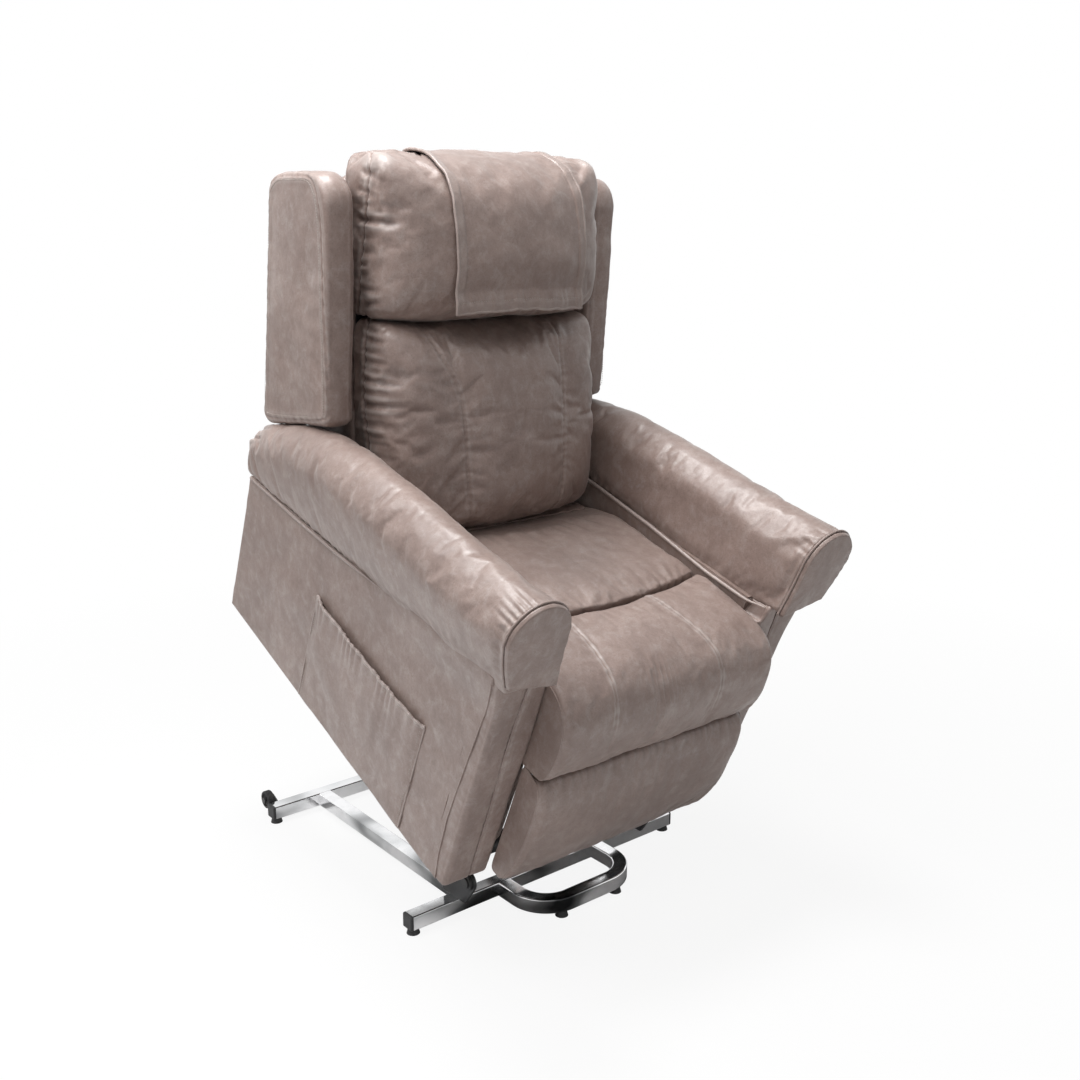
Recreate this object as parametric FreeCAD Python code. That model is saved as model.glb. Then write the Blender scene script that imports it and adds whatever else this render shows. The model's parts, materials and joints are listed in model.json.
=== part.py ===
import FreeCAD, Part
import math
import os

# Lift recliner chair, shown raised and tipped forward, in millimetres.
# X runs across the chair, the front looks towards -Y, Z is up and the glides stand on Z = 0.
# Pieces of the chair itself are drawn level, as when the chair is lowered (the seat frame of
# axes), and are then tipped and lifted into the raised pose. Y and Z below are read in that
# level frame unless a name says floor: its zero is the lower front edge of the side panels.

V = FreeCAD.Vector

# General clearances
RUN = 0.4               # running clearance between moving faces
SEAT = 0.3              # gap between soft pieces and what carries them
PIN_PLAY = 0.3          # radial play of a pivot pin in its eye

# Pose of the raised chair
TILT = 23.2             # forward tilt, degrees
RAISED_Y = -420.5       # floor place of the level frame's zero, raised
RAISED_Z = 168.1
LOWERED_Y = -350.0      # the same with the chair lowered
LOWERED_Z = 62.0

# Floor base
TUBE = 30.0             # square tube, outer side
TUBE_WALL = 2.5
TUBE_CORNER = 3.0
GLIDE_HEIGHT = 12.0
GLIDE_RADIUS = 13.0
FRONT_BAR_Y = -282.0
REAR_BAR_Y = 289.0
FRONT_BAR_HALF = 343.0
REAR_BAR_HALF = 331.0
CAP_DEPTH = 6.0         # end cap outside the tube
CAP_PLUG = 14.0         # end cap inside the tube
RAIL_X = 200.0
LOOP_HALF = 122.0       # centre line of the front loop
LOOP_FRONT_Y = -412.0
LOOP_RADIUS = 70.0
LOOP_GLIDE_X = 70.0
GLIDE_INSET = 14.0      # glide centre from the end of a bar

# Transport wheels behind the rear bar
WHEEL_RADIUS = 20.0
WHEEL_WIDTH = 16.0
WHEEL_X = 317.0
WHEEL_BAR_GAP = 2.0     # tread behind the bar's rear face
WHEEL_LIFT = 28.0       # axle above the tube's underside
WHEEL_EDGE = 3.0        # rounding of the tread
WHEEL_DISH = 2.0        # depth of the hub's recess
AXLE_RADIUS = 4.0
AXLE_HEAD_RADIUS = 7.0
AXLE_HEAD = 3.0
EAR_THICK = 4.0
EAR_EDGE = 3.0          # rounded corners of lugs and ears
WHEEL_GAP = 1.0         # side play of a wheel

# Lift linkage: floor places of the base pivots, level-frame places of the chair pivots
ARM_BASE = (-276.0, 120.0)
ARM_CHAIR = (592.0, 103.0)
LINK_BASE = (-330.0, 94.0)
LINK_CHAIR = (341.0, 40.0)
PLATE_X = 228.0         # inner face of the upright bracket
PLATE_THICK = 6.0
ARM_THICK = 8.0
ARM_HALF_DEPTH = 20.0
ARM_ROOT = 24.0         # the same at the base pivot
LINK_THICK = 6.0
LINK_HALF_DEPTH = 16.0
TORQUE_RADIUS = 19.0
STUD_RADIUS = 8.0
STUD_REACH = 46.0       # length of the stud inside the torque tube
LINK_PIN_RADIUS = 7.0
OPEN_PLAY = 0.6         # radial play of the link's open pivot
CHAIR_TUBE_RADIUS = 11.0
BRACE_RADIUS = 12.5
BRACE_ALONG = 440.0     # brace tube, along the lift arm
ARM_WINDOW = (90.0, 380.0)  # ends of the long hole in the arm
ARM_WINDOW_RADIUS = 8.0

# Motors and their rods
MOTOR_RADIUS = 17.0     # outer tube of a motor
MOTOR_COLLAR = (3.0, 14.0)  # collar at the tube's end: above the tube, length
MOTOR_EYE = 11.0
MOTOR_HALF = (25.0, 27.0)   # half width and half height of the gear housing
MOTOR_START = 18.0      # gear housing from the eye
MOTOR_END = 92.0
MOTOR_EDGE = 7.0
MOTOR_CAN = (22.0, 84.0)    # round motor beside the housing: radius, length
MOTOR_CAN_CAP = (17.0, 6.0)
MOTOR_NECK_HALF = 9.0
ROD_RADIUS = 10.0
ROD_EYE = 10.0
ROD_NECK = 34.0         # flat end of the rod that passes between the lugs
ROD_NECK_HALF = 8.0
ROD_SHORT = 46.0        # least length of rod outside the tube, to the pin
ROD_OVERLAP = 60.0      # least length of rod inside the tube
PIN_END = 3.0           # pin past the lugs
CLEVIS_PIN_RADIUS = 5.0
CLEVIS_HALF = 6.0       # half width of an eye
LUG_THICK = 5.0
LUG_RADIUS = 13.0
LUG_RISE = 18.0         # base lugs above the rear bar
LUG_RIM = 6.0           # metal round a slot
LUG_GAP = 1.0           # side play of an eye between its lugs
BRACKET_FOOT = 34.0     # half length of the bracket's foot on the front bar
BRACKET_ARM = 24.0      # rounding of the bracket round its studs
BRACKET_LINK = 20.0
LINK_HEAD = (4.0, 3.0)  # head of the link's stud: above the stud, thickness
LIFT_MOTOR_BASE = (210.0, 68.0)
LIFT_CRANK_RADIUS = 96.0
LIFT_CRANK_ANGLE = 80.0
BACK_MOTOR_X = 70.0
BACK_MOTOR_BASE = (240.0, 226.0)
BACK_CRANK_RADIUS = 61.0
BACK_CRANK_ANGLE = 318.0
LEG_MOTOR_X = -70.0
LEG_MOTOR_BASE = (464.0, 206.0)
LEG_CRANK_RADIUS = 64.0
LEG_CRANK_ANGLE = 315.0
MOTOR_TUBE_OFFSET = 32.0    # cross tube from the pin of its lugs

# Seat frame
SIDE_PLATE_X = 244.0
SIDE_PLATE_THICK = 5.0
PLATE_LINK = 20.0       # rounding of the plate round the link's stud
PLATE_REAR = 24.0       # the same at the rear and the back pivot
PLATE_CORNER = 10.0
# Long holes in the side plate: Y and Z of both ends, radius
PLATE_WINDOW_FRONT = (175.0, 250.0, 300.0, 160.0, 26.0)
PLATE_WINDOW_REAR = (400.0, 140.0, 520.0, 165.0, 26.0)
DECK_Z = 356.0
RAIL_DEEP = 30.0
RAIL_HIGH = 16.0
RAIL_WALL = 2.0
FRONT_RAIL_Y = 46.0
REAR_RAIL_Y = 548.0
WEB_WIDTH = 50.0
WEB_THICK = 3.0
WEB_COUNT = 6

# Recline and legrest
BACK_PIVOT = (645.0, 300.0)
RECLINE = 42.0
LEG_PIVOT = (-15.0, 365.0)
LEG_LIFT = 85.0

# Side panels and arms
POST_IN = 256.0
PANEL_IN = 263.0
PANEL_OUT = 357.0
POST_DEEP = 48.0
PANEL_REAR = 852.0
PANEL_EDGE = 10.0
LEDGE_Z = (292.0, 328.0)    # ledge that seats a panel on its side plate
LEDGE_INSET = 20.0
FACING_THICK = 13.0
FACING_SWELL = 2.0      # facing proud of the arm's outline
FACING_DRAW = 3.0       # facing drawn in at its front
ARM_PROUD = 2.0         # arm's lower edge outside the panel
ARM_INSET = 4.0         # and inside it
ARM_FLANK = 5.0         # bow of the arm's outer flank
ARM_FRONT = -20.0

# Rolled arms, one row per station from the front to the pinched rear end:
# Y, lower edge outside, lower edge inside, middle of the roll (X and Z), half width, top
ARM_STATIONS = (
    (-20.0, 470.0, 476.0, 342.0, 585.0, 56.0, 648.0),
    (160.0, 443.0, 459.0, 340.0, 562.0, 56.0, 625.0),
    (330.0, 412.0, 441.0, 338.0, 541.0, 55.0, 603.0),
    (500.0, 380.0, 430.0, 335.0, 517.0, 53.0, 578.0),
    (640.0, 357.0, 412.0, 332.0, 490.0, 50.0, 560.0),
    (749.0, 343.0, 385.0, 328.0, 450.0, 44.0, 508.0),
    (825.0, 330.0, 355.0, 322.0, 405.0, 38.0, 452.0),
    (862.0, 326.0, 340.0, 318.0, 368.0, 32.0, 394.0),
)

# Side pocket on the outside of one arm
POCKET_FRONT = 150.0
POCKET_REAR = 535.0
POCKET_LOW = 10.0
POCKET_TOP = 253.0
POCKET_CLOTH = 4.0
POCKET_LOW_DEPTH = 7.0
POCKET_TOP_DEPTH = 20.0

# Soft seat: Y, half width below, half width above, underside, side height, middle height
SEAT_STATIONS = (
    (128.0, 236.0, 250.0, 359.3, 430.0, 448.0),
    (200.0, 238.0, 253.0, 359.3, 434.0, 453.0),
    (330.0, 238.0, 253.0, 359.3, 432.0, 450.0),
    (424.0, 236.0, 250.0, 359.3, 424.0, 440.0),
)
SEAT_TONGUE_REAR = 536.0
SEAT_TONGUE_HIGH = 402.0
SEAT_TONGUE_ROOT = 11.0
SEAT_TONGUE_LOW = 363.0
KNEE_REAR = 126.0
KNEE_TOP = 449.0
KNEE_HALF = 255.0
KNEE_CORE_GAP = 7.0     # core inside the legrest's straps
KNEE_CORE_TOP = 386.0
KNEE_FRONT = -70.0
KNEE_NOSE = 50.0        # radius of the nose above
KNEE_ROLL = 54.0        # radius of the nose below, about the legrest pivot
KNEE_CROWN = 4.0
KNEE_RAIL_GAP = 6.0     # room at the front rail and above the legrest's crank
KNEE_NOTCH_GAP = 8.0    # room beside the crank

# Legrest
LEGREST_HALF = 255.0
BOARD_HALF = 235.0
BOARD_THICK = 10.0
BOARD_REAR = -12.0
BOARD_TOP = 303.0
BOARD_INSET = 5.0       # board above the lower pad's edge
CALF_LOW = 266.0
CALF_EDGE = -50.0       # front of the calf pad's lower edge
CALF_BELLY = (-66.0, 276.0)
LOWER_PAD_TOP = 262.0
LOWER_PAD_LOW = 7.0
LOWER_EDGES = (-33.0, -50.0)    # front of the lower pad at its low end and at its top
LOWER_BOW = ((-56.0, 50.0), (-68.0, 105.0), (-71.0, 180.0))
STRAP_X = 237.0
STRAP_THICK = 5.0
STRAP_TAIL = 40.0       # strap below the lower tube
KNEE_CORE_HALF = STRAP_X - KNEE_CORE_GAP
LEG_TUBE_RADIUS = 9.0
LEG_TUBES_Z = (120.0, 286.0)

# Backrest, drawn in its own axes: U runs from front to rear, W runs up the back
BACK_ORIGIN = (640.0, 574.0)
BACK_LEAN = 22.6
LUMBAR_STATIONS = (
    (-212.0, 227.0, 232.0, 59.2, -62.0, -118.0),
    (-180.0, 242.0, 247.0, 59.2, -66.0, -141.0),
    (-40.0, 246.0, 251.0, 59.2, -70.0, -134.0),
    (110.0, 246.0, 251.0, 59.2, -68.0, -112.0),
    (166.0, 241.0, 246.0, 59.2, -58.0, -84.0),
    (182.0, 227.0, 232.0, 59.2, -36.0, -52.0),
)
HEAD_STATIONS = (
    (187.0, 231.0, 236.0, 59.2, -48.0, -96.0),
    (204.0, 245.0, 250.0, 59.2, -66.0, -134.0),
    (300.0, 250.0, 255.0, 59.2, -74.0, -124.0),
    (430.0, 249.0, 254.0, 59.2, -76.0, -96.0),
    (464.0, 243.0, 248.0, 59.2, -62.0, -72.0),
    (482.0, 227.0, 232.0, 59.2, -30.0, -34.0),
)
COVER_LEFT = -145.0
COVER_RIGHT = 160.0
COVER_LOW = 191.0
COVER_REAR = 46.0
COVER_THICK = 3.0
SHELL_FRONT = 60.0
SHELL_LOW_HALF = 255.0
SHELL_HALF = 281.7
SHELL_STEP = 18.0
SHELL_CORNER = 14.0
SHELL_ROOM = 3.0        # room round the frame inside the shell
SHELL_DISCS = ((74.0, -114.0), (218.0, -80.0), (230.0, 8.0), (168.0, 424.0), (74.0, 454.0))
WING_WIDE = 60.0
WING_IN = SHELL_HALF + SEAT
WING_OUT = WING_IN + WING_WIDE
WING_EDGE = 10.0
WING_DISCS = ((18.0, 18.0, 18.0), (228.0, 2.0, 26.0), (148.0, 400.0, 42.0), (36.0, 382.0, 60.0))
FRAME_BAR_X = 218.0
FRAME_BAR_THICK = 20.0
FRAME_BAR_DEEP = 30.0
FRAME_ROOT = 20.0       # upright round the back pivot
FRAME_KNEE = -120.0
FRAME_TOP = 400.0
FRAME_TUBE_RADIUS = 11.0
BACK_STUD_REACH = 24.0  # back stud inside the pivot tube
BACK_WEB_COUNT = 5
PIVOT_TUBE_RADIUS = 15.0

# Control box and rear skirt
BOX_SIZE = (46.0, 120.0, 60.0)
BOX_PLACE = (198.0, 330.0, 250.0)
BOX_EDGE = 4.0
SOCKET_SHARES = (0.3, 0.7)  # sockets up the box's height
SOCKET_RADIUS = 8.0
SOCKET_DEPTH = 14.0
SKIRT_REAR = 848.0
SKIRT_THICK = 5.0
SKIRT_LOW = 6.0
SKIRT_TOP = 190.0
SKIRT_ROUND = 2.0


def turned(point, degrees):
    """A pair (Y, Z) turned counter-clockwise, Y towards Z."""
    a = math.radians(degrees)
    y, z = point
    return (y * math.cos(a) - z * math.sin(a), y * math.sin(a) + z * math.cos(a))


def raised_point(point):
    """Floor place of a point of the level frame, chair raised."""
    y, z = turned(point, TILT)
    return (y + RAISED_Y, z + RAISED_Z)


def lowered_point(point):
    """Floor place of a point of the level frame, chair lowered."""
    return (point[0] + LOWERED_Y, point[1] + LOWERED_Z)


def heading(start, end):
    """Direction from one (Y, Z) point to another, degrees from +Y towards +Z."""
    return math.degrees(math.atan2(end[1] - start[1], end[0] - start[0]))


def along(start, degrees, distance):
    """The point at a distance from start in a direction."""
    y, z = turned((distance, 0.0), degrees)
    return (start[0] + y, start[1] + z)


FACING_FRONT = ARM_FRONT - FACING_THICK
FRONT_REACH = raised_point((FACING_FRONT, ARM_STATIONS[0][6]))[0]
REAR_REACH = raised_point((PANEL_REAR, 0.0))[0]
CENTRE_Y = (FRONT_REACH + REAR_REACH) / 2   # the part's origin lies under its middle

ARM_LENGTH = math.dist(ARM_BASE, raised_point(ARM_CHAIR))
ARM_RAISED = heading(ARM_BASE, raised_point(ARM_CHAIR))
ARM_LOWERED = heading(ARM_BASE, lowered_point(ARM_CHAIR))
ARM_SWING = ARM_RAISED - ARM_LOWERED
LINK_RAISED = heading(LINK_BASE, raised_point(LINK_CHAIR))
LINK_LOWERED = heading(LINK_BASE, lowered_point(LINK_CHAIR))
TUBE_BOTTOM = GLIDE_HEIGHT
TUBE_MID = GLIDE_HEIGHT + TUBE / 2
TUBE_TOP = GLIDE_HEIGHT + TUBE


def box(x0, x1, y0, y1, z0, z1):
    return Part.makeBox(x1 - x0, y1 - y0, z1 - z0, V(x0, y0, z0))


def bar_x(point, radius, x0, x1):
    """Round bar along X."""
    return Part.makeCylinder(radius, x1 - x0, V(x0, point[0], point[1]), V(1, 0, 0))


def prism_x(face, x0, x1):
    """A face drawn at X = 0, drawn out from x0 to x1."""
    moved = face.copy()
    moved.translate(V(x0, 0, 0))
    return moved.extrude(V(x1 - x0, 0, 0))


def polygon(points):
    """Straight-edged face in the YZ plane."""
    loop = [V(0, y, z) for y, z in points]
    return Part.Face(Part.makePolygon(loop + loop[:1]))


def belt(circles):
    """Face in the YZ plane inside a belt round circles (Y, Z, radius), given counter-clockwise."""
    count = len(circles)
    touches = []
    for i in range(count):
        y0, z0, r0 = circles[i]
        y1, z1, r1 = circles[(i + 1) % count]
        reach = math.dist((y0, z0), (y1, z1))
        uy, uz = (y1 - y0) / reach, (z1 - z0) / reach
        lean = (r0 - r1) / reach
        flat = math.sqrt(1 - lean * lean)
        ny, nz = uz * flat + uy * lean, -uy * flat + uz * lean
        touches.append(((y0 + ny * r0, z0 + nz * r0), (y1 + ny * r1, z1 + nz * r1), (ny, nz)))
    edges = []
    for i in range(count):
        leave, arrive, normal = touches[i]
        edges.append(Part.LineSegment(V(0, *leave), V(0, *arrive)).toShape())
        y, z, r = circles[(i + 1) % count]
        following, _, next_normal = touches[(i + 1) % count]
        start = math.atan2(normal[1], normal[0])
        sweep = (math.atan2(next_normal[1], next_normal[0]) - start) % (2 * math.pi)
        middle = start + sweep / 2
        top = V(0, y + r * math.cos(middle), z + r * math.sin(middle))
        edges.append(Part.Arc(V(0, *arrive), top, V(0, *following)).toShape())
    return Part.Face(Part.Wire(edges))


def slot(start, end, radius):
    """Long hole with round ends as a face in the YZ plane."""
    return belt([(*start, radius), (*end, radius)])


def mirrored(shape):
    return shape.mirror(V(0, 0, 0), V(1, 0, 0))


def rounded_rectangle(width, height, radius):
    """Wire in the XY plane round the origin."""
    w, h = width / 2 - radius, height / 2 - radius
    sketch = []
    corners = ((w, h, 0), (-w, h, 90), (-w, -h, 180), (w, -h, 270))
    for i in range(4):
        cx, cy, start = corners[i]
        spots = [math.radians(start + turn) for turn in (0, 45, 90)]
        a, m, b = [V(cx + radius * math.cos(t), cy + radius * math.sin(t), 0) for t in spots]
        sketch.append(Part.Arc(a, m, b).toShape())
        nx, ny, turn = corners[(i + 1) % 4]
        t = math.radians(turn)
        c = V(nx + radius * math.cos(t), ny + radius * math.sin(t), 0)
        sketch.append(Part.LineSegment(b, c).toShape())
    return Part.Wire(sketch)


def square_tube(length):
    """Hollow square tube along +X, from the origin."""
    wires = (
        rounded_rectangle(TUBE, TUBE, TUBE_CORNER),
        rounded_rectangle(TUBE - 2 * TUBE_WALL, TUBE - 2 * TUBE_WALL, TUBE_CORNER / 2),
    )
    solids = []
    for wire in wires:
        wire.rotate(V(0, 0, 0), V(0, 1, 0), 90)
        solids.append(Part.Face(wire).extrude(V(length, 0, 0)))
    return solids[0].cut(solids[1])


def crossbar(y, half):
    tube = square_tube(2 * (half - CAP_DEPTH))
    tube.translate(V(-(half - CAP_DEPTH), y, TUBE_MID))
    return tube


def front_bar():
    return crossbar(FRONT_BAR_Y, FRONT_BAR_HALF)


def rear_bar():
    return crossbar(REAR_BAR_Y, REAR_BAR_HALF)


def side_rails():
    """Two rails between the crossbars."""
    length = REAR_BAR_Y - FRONT_BAR_Y - TUBE
    rail = square_tube(length)
    rail.rotate(V(0, 0, 0), V(0, 0, 1), 90)
    rail.translate(V(RAIL_X, FRONT_BAR_Y + TUBE / 2, TUBE_MID))
    return Part.makeCompound([rail, mirrored(rail)])


def front_loop():
    """U loop of the same tube, lying in front of the front bar."""
    x, r, back = LOOP_HALF, LOOP_RADIUS, FRONT_BAR_Y - TUBE / 2
    front = LOOP_FRONT_Y
    bend = r * math.sqrt(0.5)
    z = TUBE_MID
    path = Part.Wire([
        Part.LineSegment(V(-x, back, z), V(-x, front + r, z)).toShape(),
        Part.Arc(V(-x, front + r, z), V(-x + r - bend, front + r - bend, z), V(-x + r, front, z)).toShape(),
        Part.LineSegment(V(-x + r, front, z), V(x - r, front, z)).toShape(),
        Part.Arc(V(x - r, front, z), V(x - r + bend, front + r - bend, z), V(x, front + r, z)).toShape(),
        Part.LineSegment(V(x, front + r, z), V(x, back, z)).toShape(),
    ])
    solids = []
    for side, corner in ((TUBE, TUBE_CORNER), (TUBE - 2 * TUBE_WALL, TUBE_CORNER / 2)):
        wire = rounded_rectangle(side, side, corner)
        wire.rotate(V(0, 0, 0), V(1, 0, 0), 90)
        wire.translate(V(-x, back, z))
        solids.append(path.makePipeShell([wire], True, False))
    return solids[0].cut(solids[1])


def end_caps():
    """Four plugs that close the ends of the crossbars."""
    caps = []
    inner = TUBE - 2 * TUBE_WALL - 2 * RUN
    for y, half in ((FRONT_BAR_Y, FRONT_BAR_HALF), (REAR_BAR_Y, REAR_BAR_HALF)):
        wire = rounded_rectangle(TUBE, TUBE, TUBE_CORNER)
        wire.rotate(V(0, 0, 0), V(0, 1, 0), 90)
        head = Part.Face(wire).extrude(V(CAP_DEPTH, 0, 0))
        outer = [e for e in head.Edges if e.BoundBox.XMin > CAP_DEPTH - 0.01]
        head = head.makeFillet(CAP_DEPTH / 2, outer)
        plug_wire = rounded_rectangle(inner, inner, TUBE_CORNER / 2)
        plug_wire.rotate(V(0, 0, 0), V(0, 1, 0), 90)
        cap = head.fuse(Part.Face(plug_wire).extrude(V(-CAP_PLUG, 0, 0)))
        cap.translate(V(half - CAP_DEPTH, y, TUBE_MID))
        caps += [cap, mirrored(cap)]
    return Part.makeCompound(caps)


def glides():
    """Levelling feet under the ends of the bars and under the loop."""
    places = []
    for side in (-1, 1):
        places.append((side * (FRONT_BAR_HALF - GLIDE_INSET), FRONT_BAR_Y))
        places.append((side * (REAR_BAR_HALF - GLIDE_INSET), REAR_BAR_Y))
        places.append((side * LOOP_GLIDE_X, LOOP_FRONT_Y))
    feet = []
    for x, y in places:
        foot = Part.makeCone(GLIDE_RADIUS, GLIDE_RADIUS * 0.75, GLIDE_HEIGHT, V(x, y, 0), V(0, 0, 1))
        feet.append(foot)
    return Part.makeCompound(feet)


def lift_bracket():
    """Upright plate on the front bar with the studs of the lift arm and the front link."""
    plate = prism_x(belt([
        (FRONT_BAR_Y - BRACKET_FOOT, TUBE_TOP + EAR_EDGE, EAR_EDGE),
        (FRONT_BAR_Y + BRACKET_FOOT, TUBE_TOP + EAR_EDGE, EAR_EDGE),
        (*ARM_BASE, BRACKET_ARM),
        (*LINK_BASE, BRACKET_LINK),
    ]), PLATE_X, PLATE_X + PLATE_THICK)
    arm_stud = bar_x(ARM_BASE, STUD_RADIUS, PLATE_X - ARM_THICK - STUD_REACH, PLATE_X + 1)
    proud, head_thick = LINK_HEAD
    seat = PLATE_X + PLATE_THICK + LINK_THICK + 2 * RUN
    link_stud = bar_x(LINK_BASE, LINK_PIN_RADIUS, PLATE_X + 1, seat + head_thick)
    head = bar_x(LINK_BASE, LINK_PIN_RADIUS + proud, seat, seat + head_thick)
    return plate.fuse([arm_stud, link_stud, head])


def lug_pair(outline, x, hole=None, pin=None):
    """Two lugs on either side of an eye at x, with a hole or a fixed pin."""
    inner = CLEVIS_HALF + LUG_GAP
    sides = []
    for start in (x - inner - LUG_THICK, x + inner):
        lug = prism_x(outline, start, start + LUG_THICK)
        if hole:
            lug = lug.cut(prism_x(hole, start - 1, start + LUG_THICK + 1))
        sides.append(lug)
    if pin:
        reach = inner + LUG_THICK + PIN_END
        sides.append(bar_x(pin, CLEVIS_PIN_RADIUS, x - reach, x + reach))
    return sides


def base_motor_lugs():
    """Lugs on the rear bar that carry the lift motor."""
    face = REAR_BAR_Y - TUBE / 2 - EAR_EDGE
    outline = belt([
        (face, TUBE_BOTTOM + 2 * EAR_EDGE, EAR_EDGE),
        (face, TUBE_TOP + LUG_RISE, EAR_EDGE),
        (*LIFT_MOTOR_BASE, LUG_RADIUS),
    ])
    lugs = lug_pair(outline, 0.0, pin=LIFT_MOTOR_BASE)
    return lugs[0].fuse(lugs[1:])


def wheel_axis():
    return (REAR_BAR_Y + TUBE / 2 + WHEEL_BAR_GAP + WHEEL_RADIUS, TUBE_BOTTOM + WHEEL_LIFT)


def wheel_ears():
    """An ear behind each end of the rear bar, with the axle and its head."""
    y, z = wheel_axis()
    face = REAR_BAR_Y + TUBE / 2
    outline = belt([
        (face + EAR_EDGE, TUBE_BOTTOM + 2 * EAR_EDGE, EAR_EDGE),
        (y, z, AXLE_HEAD_RADIUS + EAR_EDGE),
        (face + EAR_EDGE, TUBE_TOP - EAR_EDGE, EAR_EDGE),
    ])
    inner = WHEEL_X - WHEEL_WIDTH / 2 - WHEEL_GAP
    outer = WHEEL_X + WHEEL_WIDTH / 2 + WHEEL_GAP
    ear = prism_x(outline, inner - EAR_THICK, inner).fuse([
        bar_x((y, z), AXLE_RADIUS, inner - EAR_THICK, outer + AXLE_HEAD),
        bar_x((y, z), AXLE_HEAD_RADIUS, outer, outer + AXLE_HEAD),
    ])
    return Part.makeCompound([ear, mirrored(ear)])


def wheel():
    """Rear transport wheel with a rounded tread and a dished hub."""
    axis = wheel_axis()
    half = WHEEL_WIDTH / 2
    disc = bar_x(axis, WHEEL_RADIUS, WHEEL_X - half, WHEEL_X + half)
    rims = [e for e in disc.Edges if e.Closed]
    disc = disc.makeFillet(WHEEL_EDGE, rims)
    bore = bar_x(axis, AXLE_RADIUS + PIN_PLAY, WHEEL_X - WHEEL_WIDTH, WHEEL_X + WHEEL_WIDTH)
    dish = (WHEEL_RADIUS + AXLE_HEAD_RADIUS) / 2
    recess = bar_x(axis, dish, WHEEL_X + half - WHEEL_DISH, WHEEL_X + WHEEL_WIDTH)
    return disc.cut([bore, recess])


def pin_path(pivot, base, crank_radius, crank_angle, swing):
    """Play that a rod's pin needs in its crank when motor, rod and crank all keep constant ratios.

    Returns the least and greatest distance of the pin from the pivot and its greatest distance
    from the crank's centre line.
    """
    first = along(pivot, crank_angle, crank_radius)
    last = along(pivot, crank_angle - swing, crank_radius)
    lengths = (math.dist(base, first), math.dist(base, last))
    ways = (heading(base, first), heading(base, last))
    turn = (ways[1] - ways[0] + 180) % 360 - 180
    steps = 40
    radial = []
    across = []
    for i in range(steps + 1):
        share = i / steps
        spot = along(base, ways[0] + turn * share, lengths[0] + (lengths[1] - lengths[0]) * share)
        arm = (spot[0] - pivot[0], spot[1] - pivot[1])
        r, t = turned(arm, swing * share - crank_angle)
        radial.append(r)
        across.append(abs(t))
    return min(radial), max(radial), max(across)


def crank_slot(pivot, path, angle):
    """Ends and radius of the slot that gives a pin that play."""
    low, high, across = path
    ends = (along(pivot, angle, low), along(pivot, angle, high))
    return ends[0], ends[1], CLEVIS_PIN_RADIUS + across + RUN


LIFT_PATH = pin_path(ARM_BASE, LIFT_MOTOR_BASE, LIFT_CRANK_RADIUS, LIFT_CRANK_ANGLE, ARM_SWING)
BACK_PATH = pin_path(BACK_PIVOT, BACK_MOTOR_BASE, BACK_CRANK_RADIUS, BACK_CRANK_ANGLE, RECLINE)
LEG_PATH = pin_path(LEG_PIVOT, LEG_MOTOR_BASE, LEG_CRANK_RADIUS, LEG_CRANK_ANGLE, LEG_LIFT)


def lift_arms():
    """Two lift arms welded to a torque tube and a brace, with the crank of the lift rod."""
    far = along(ARM_BASE, ARM_RAISED, ARM_LENGTH)
    outer = PLATE_X - 2 * RUN
    inner = outer - ARM_THICK
    arm = prism_x(belt([(*ARM_BASE, ARM_ROOT), (*far, ARM_HALF_DEPTH)]), inner, outer)
    ends = [along(ARM_BASE, ARM_RAISED, place) for place in ARM_WINDOW]
    window = slot(*ends, ARM_WINDOW_RADIUS)
    eye = bar_x(far, CHAIR_TUBE_RADIUS + PIN_PLAY, inner - 1, outer + 1)
    arm = arm.cut([prism_x(window, inner - 1, outer + 1), eye])
    brace = along(ARM_BASE, ARM_RAISED, BRACE_ALONG)
    tubes = [
        bar_x(ARM_BASE, TORQUE_RADIUS, -inner - 1, inner + 1),
        bar_x(brace, BRACE_RADIUS, -inner - 1, inner + 1),
    ]
    start, end, radius = crank_slot(ARM_BASE, LIFT_PATH, LIFT_CRANK_ANGLE)
    outline = belt([(*ARM_BASE, TORQUE_RADIUS + EAR_EDGE), (*end, radius + LUG_RIM)])
    cranks = lug_pair(outline, 0.0, hole=slot(start, end, radius))
    whole = arm.fuse([mirrored(arm)] + tubes + cranks)
    bore = bar_x(ARM_BASE, STUD_RADIUS + PIN_PLAY, PLATE_X - ARM_THICK - STUD_REACH - EAR_EDGE, PLATE_X)
    hollow = bar_x(brace, BRACE_RADIUS - TUBE_WALL, -inner + TUBE_WALL, inner - TUBE_WALL)
    return whole.cut([bore, mirrored(bore), hollow])


def front_link():
    """Short link between the bracket and the chair's side plate."""
    far = raised_point(LINK_CHAIR)
    start = PLATE_X + PLATE_THICK + RUN
    bar = prism_x(belt([(*LINK_BASE, LINK_HALF_DEPTH), (*far, LINK_HALF_DEPTH)]), start, start + LINK_THICK)
    holes = (
        bar_x(LINK_BASE, LINK_PIN_RADIUS + PIN_PLAY, start - 1, start + LINK_THICK + 1),
        bar_x(far, LINK_PIN_RADIUS + OPEN_PLAY, start - 1, start + LINK_THICK + 1),
    )
    return bar.cut(holes)


def aimed(shape, base, end, x=0.0):
    """A piece drawn along +Y from the origin, turned to point from base to end."""
    placed = shape.copy()
    placed.rotate(V(0, 0, 0), V(1, 0, 0), heading(base, end))
    placed.translate(V(x, base[0], base[1]))
    return placed


def bar_y(radius, y0, y1):
    """Round bar along Y through the origin's line."""
    return Part.makeCylinder(radius, y1 - y0, V(0, y0, 0), V(0, 1, 0))


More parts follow.
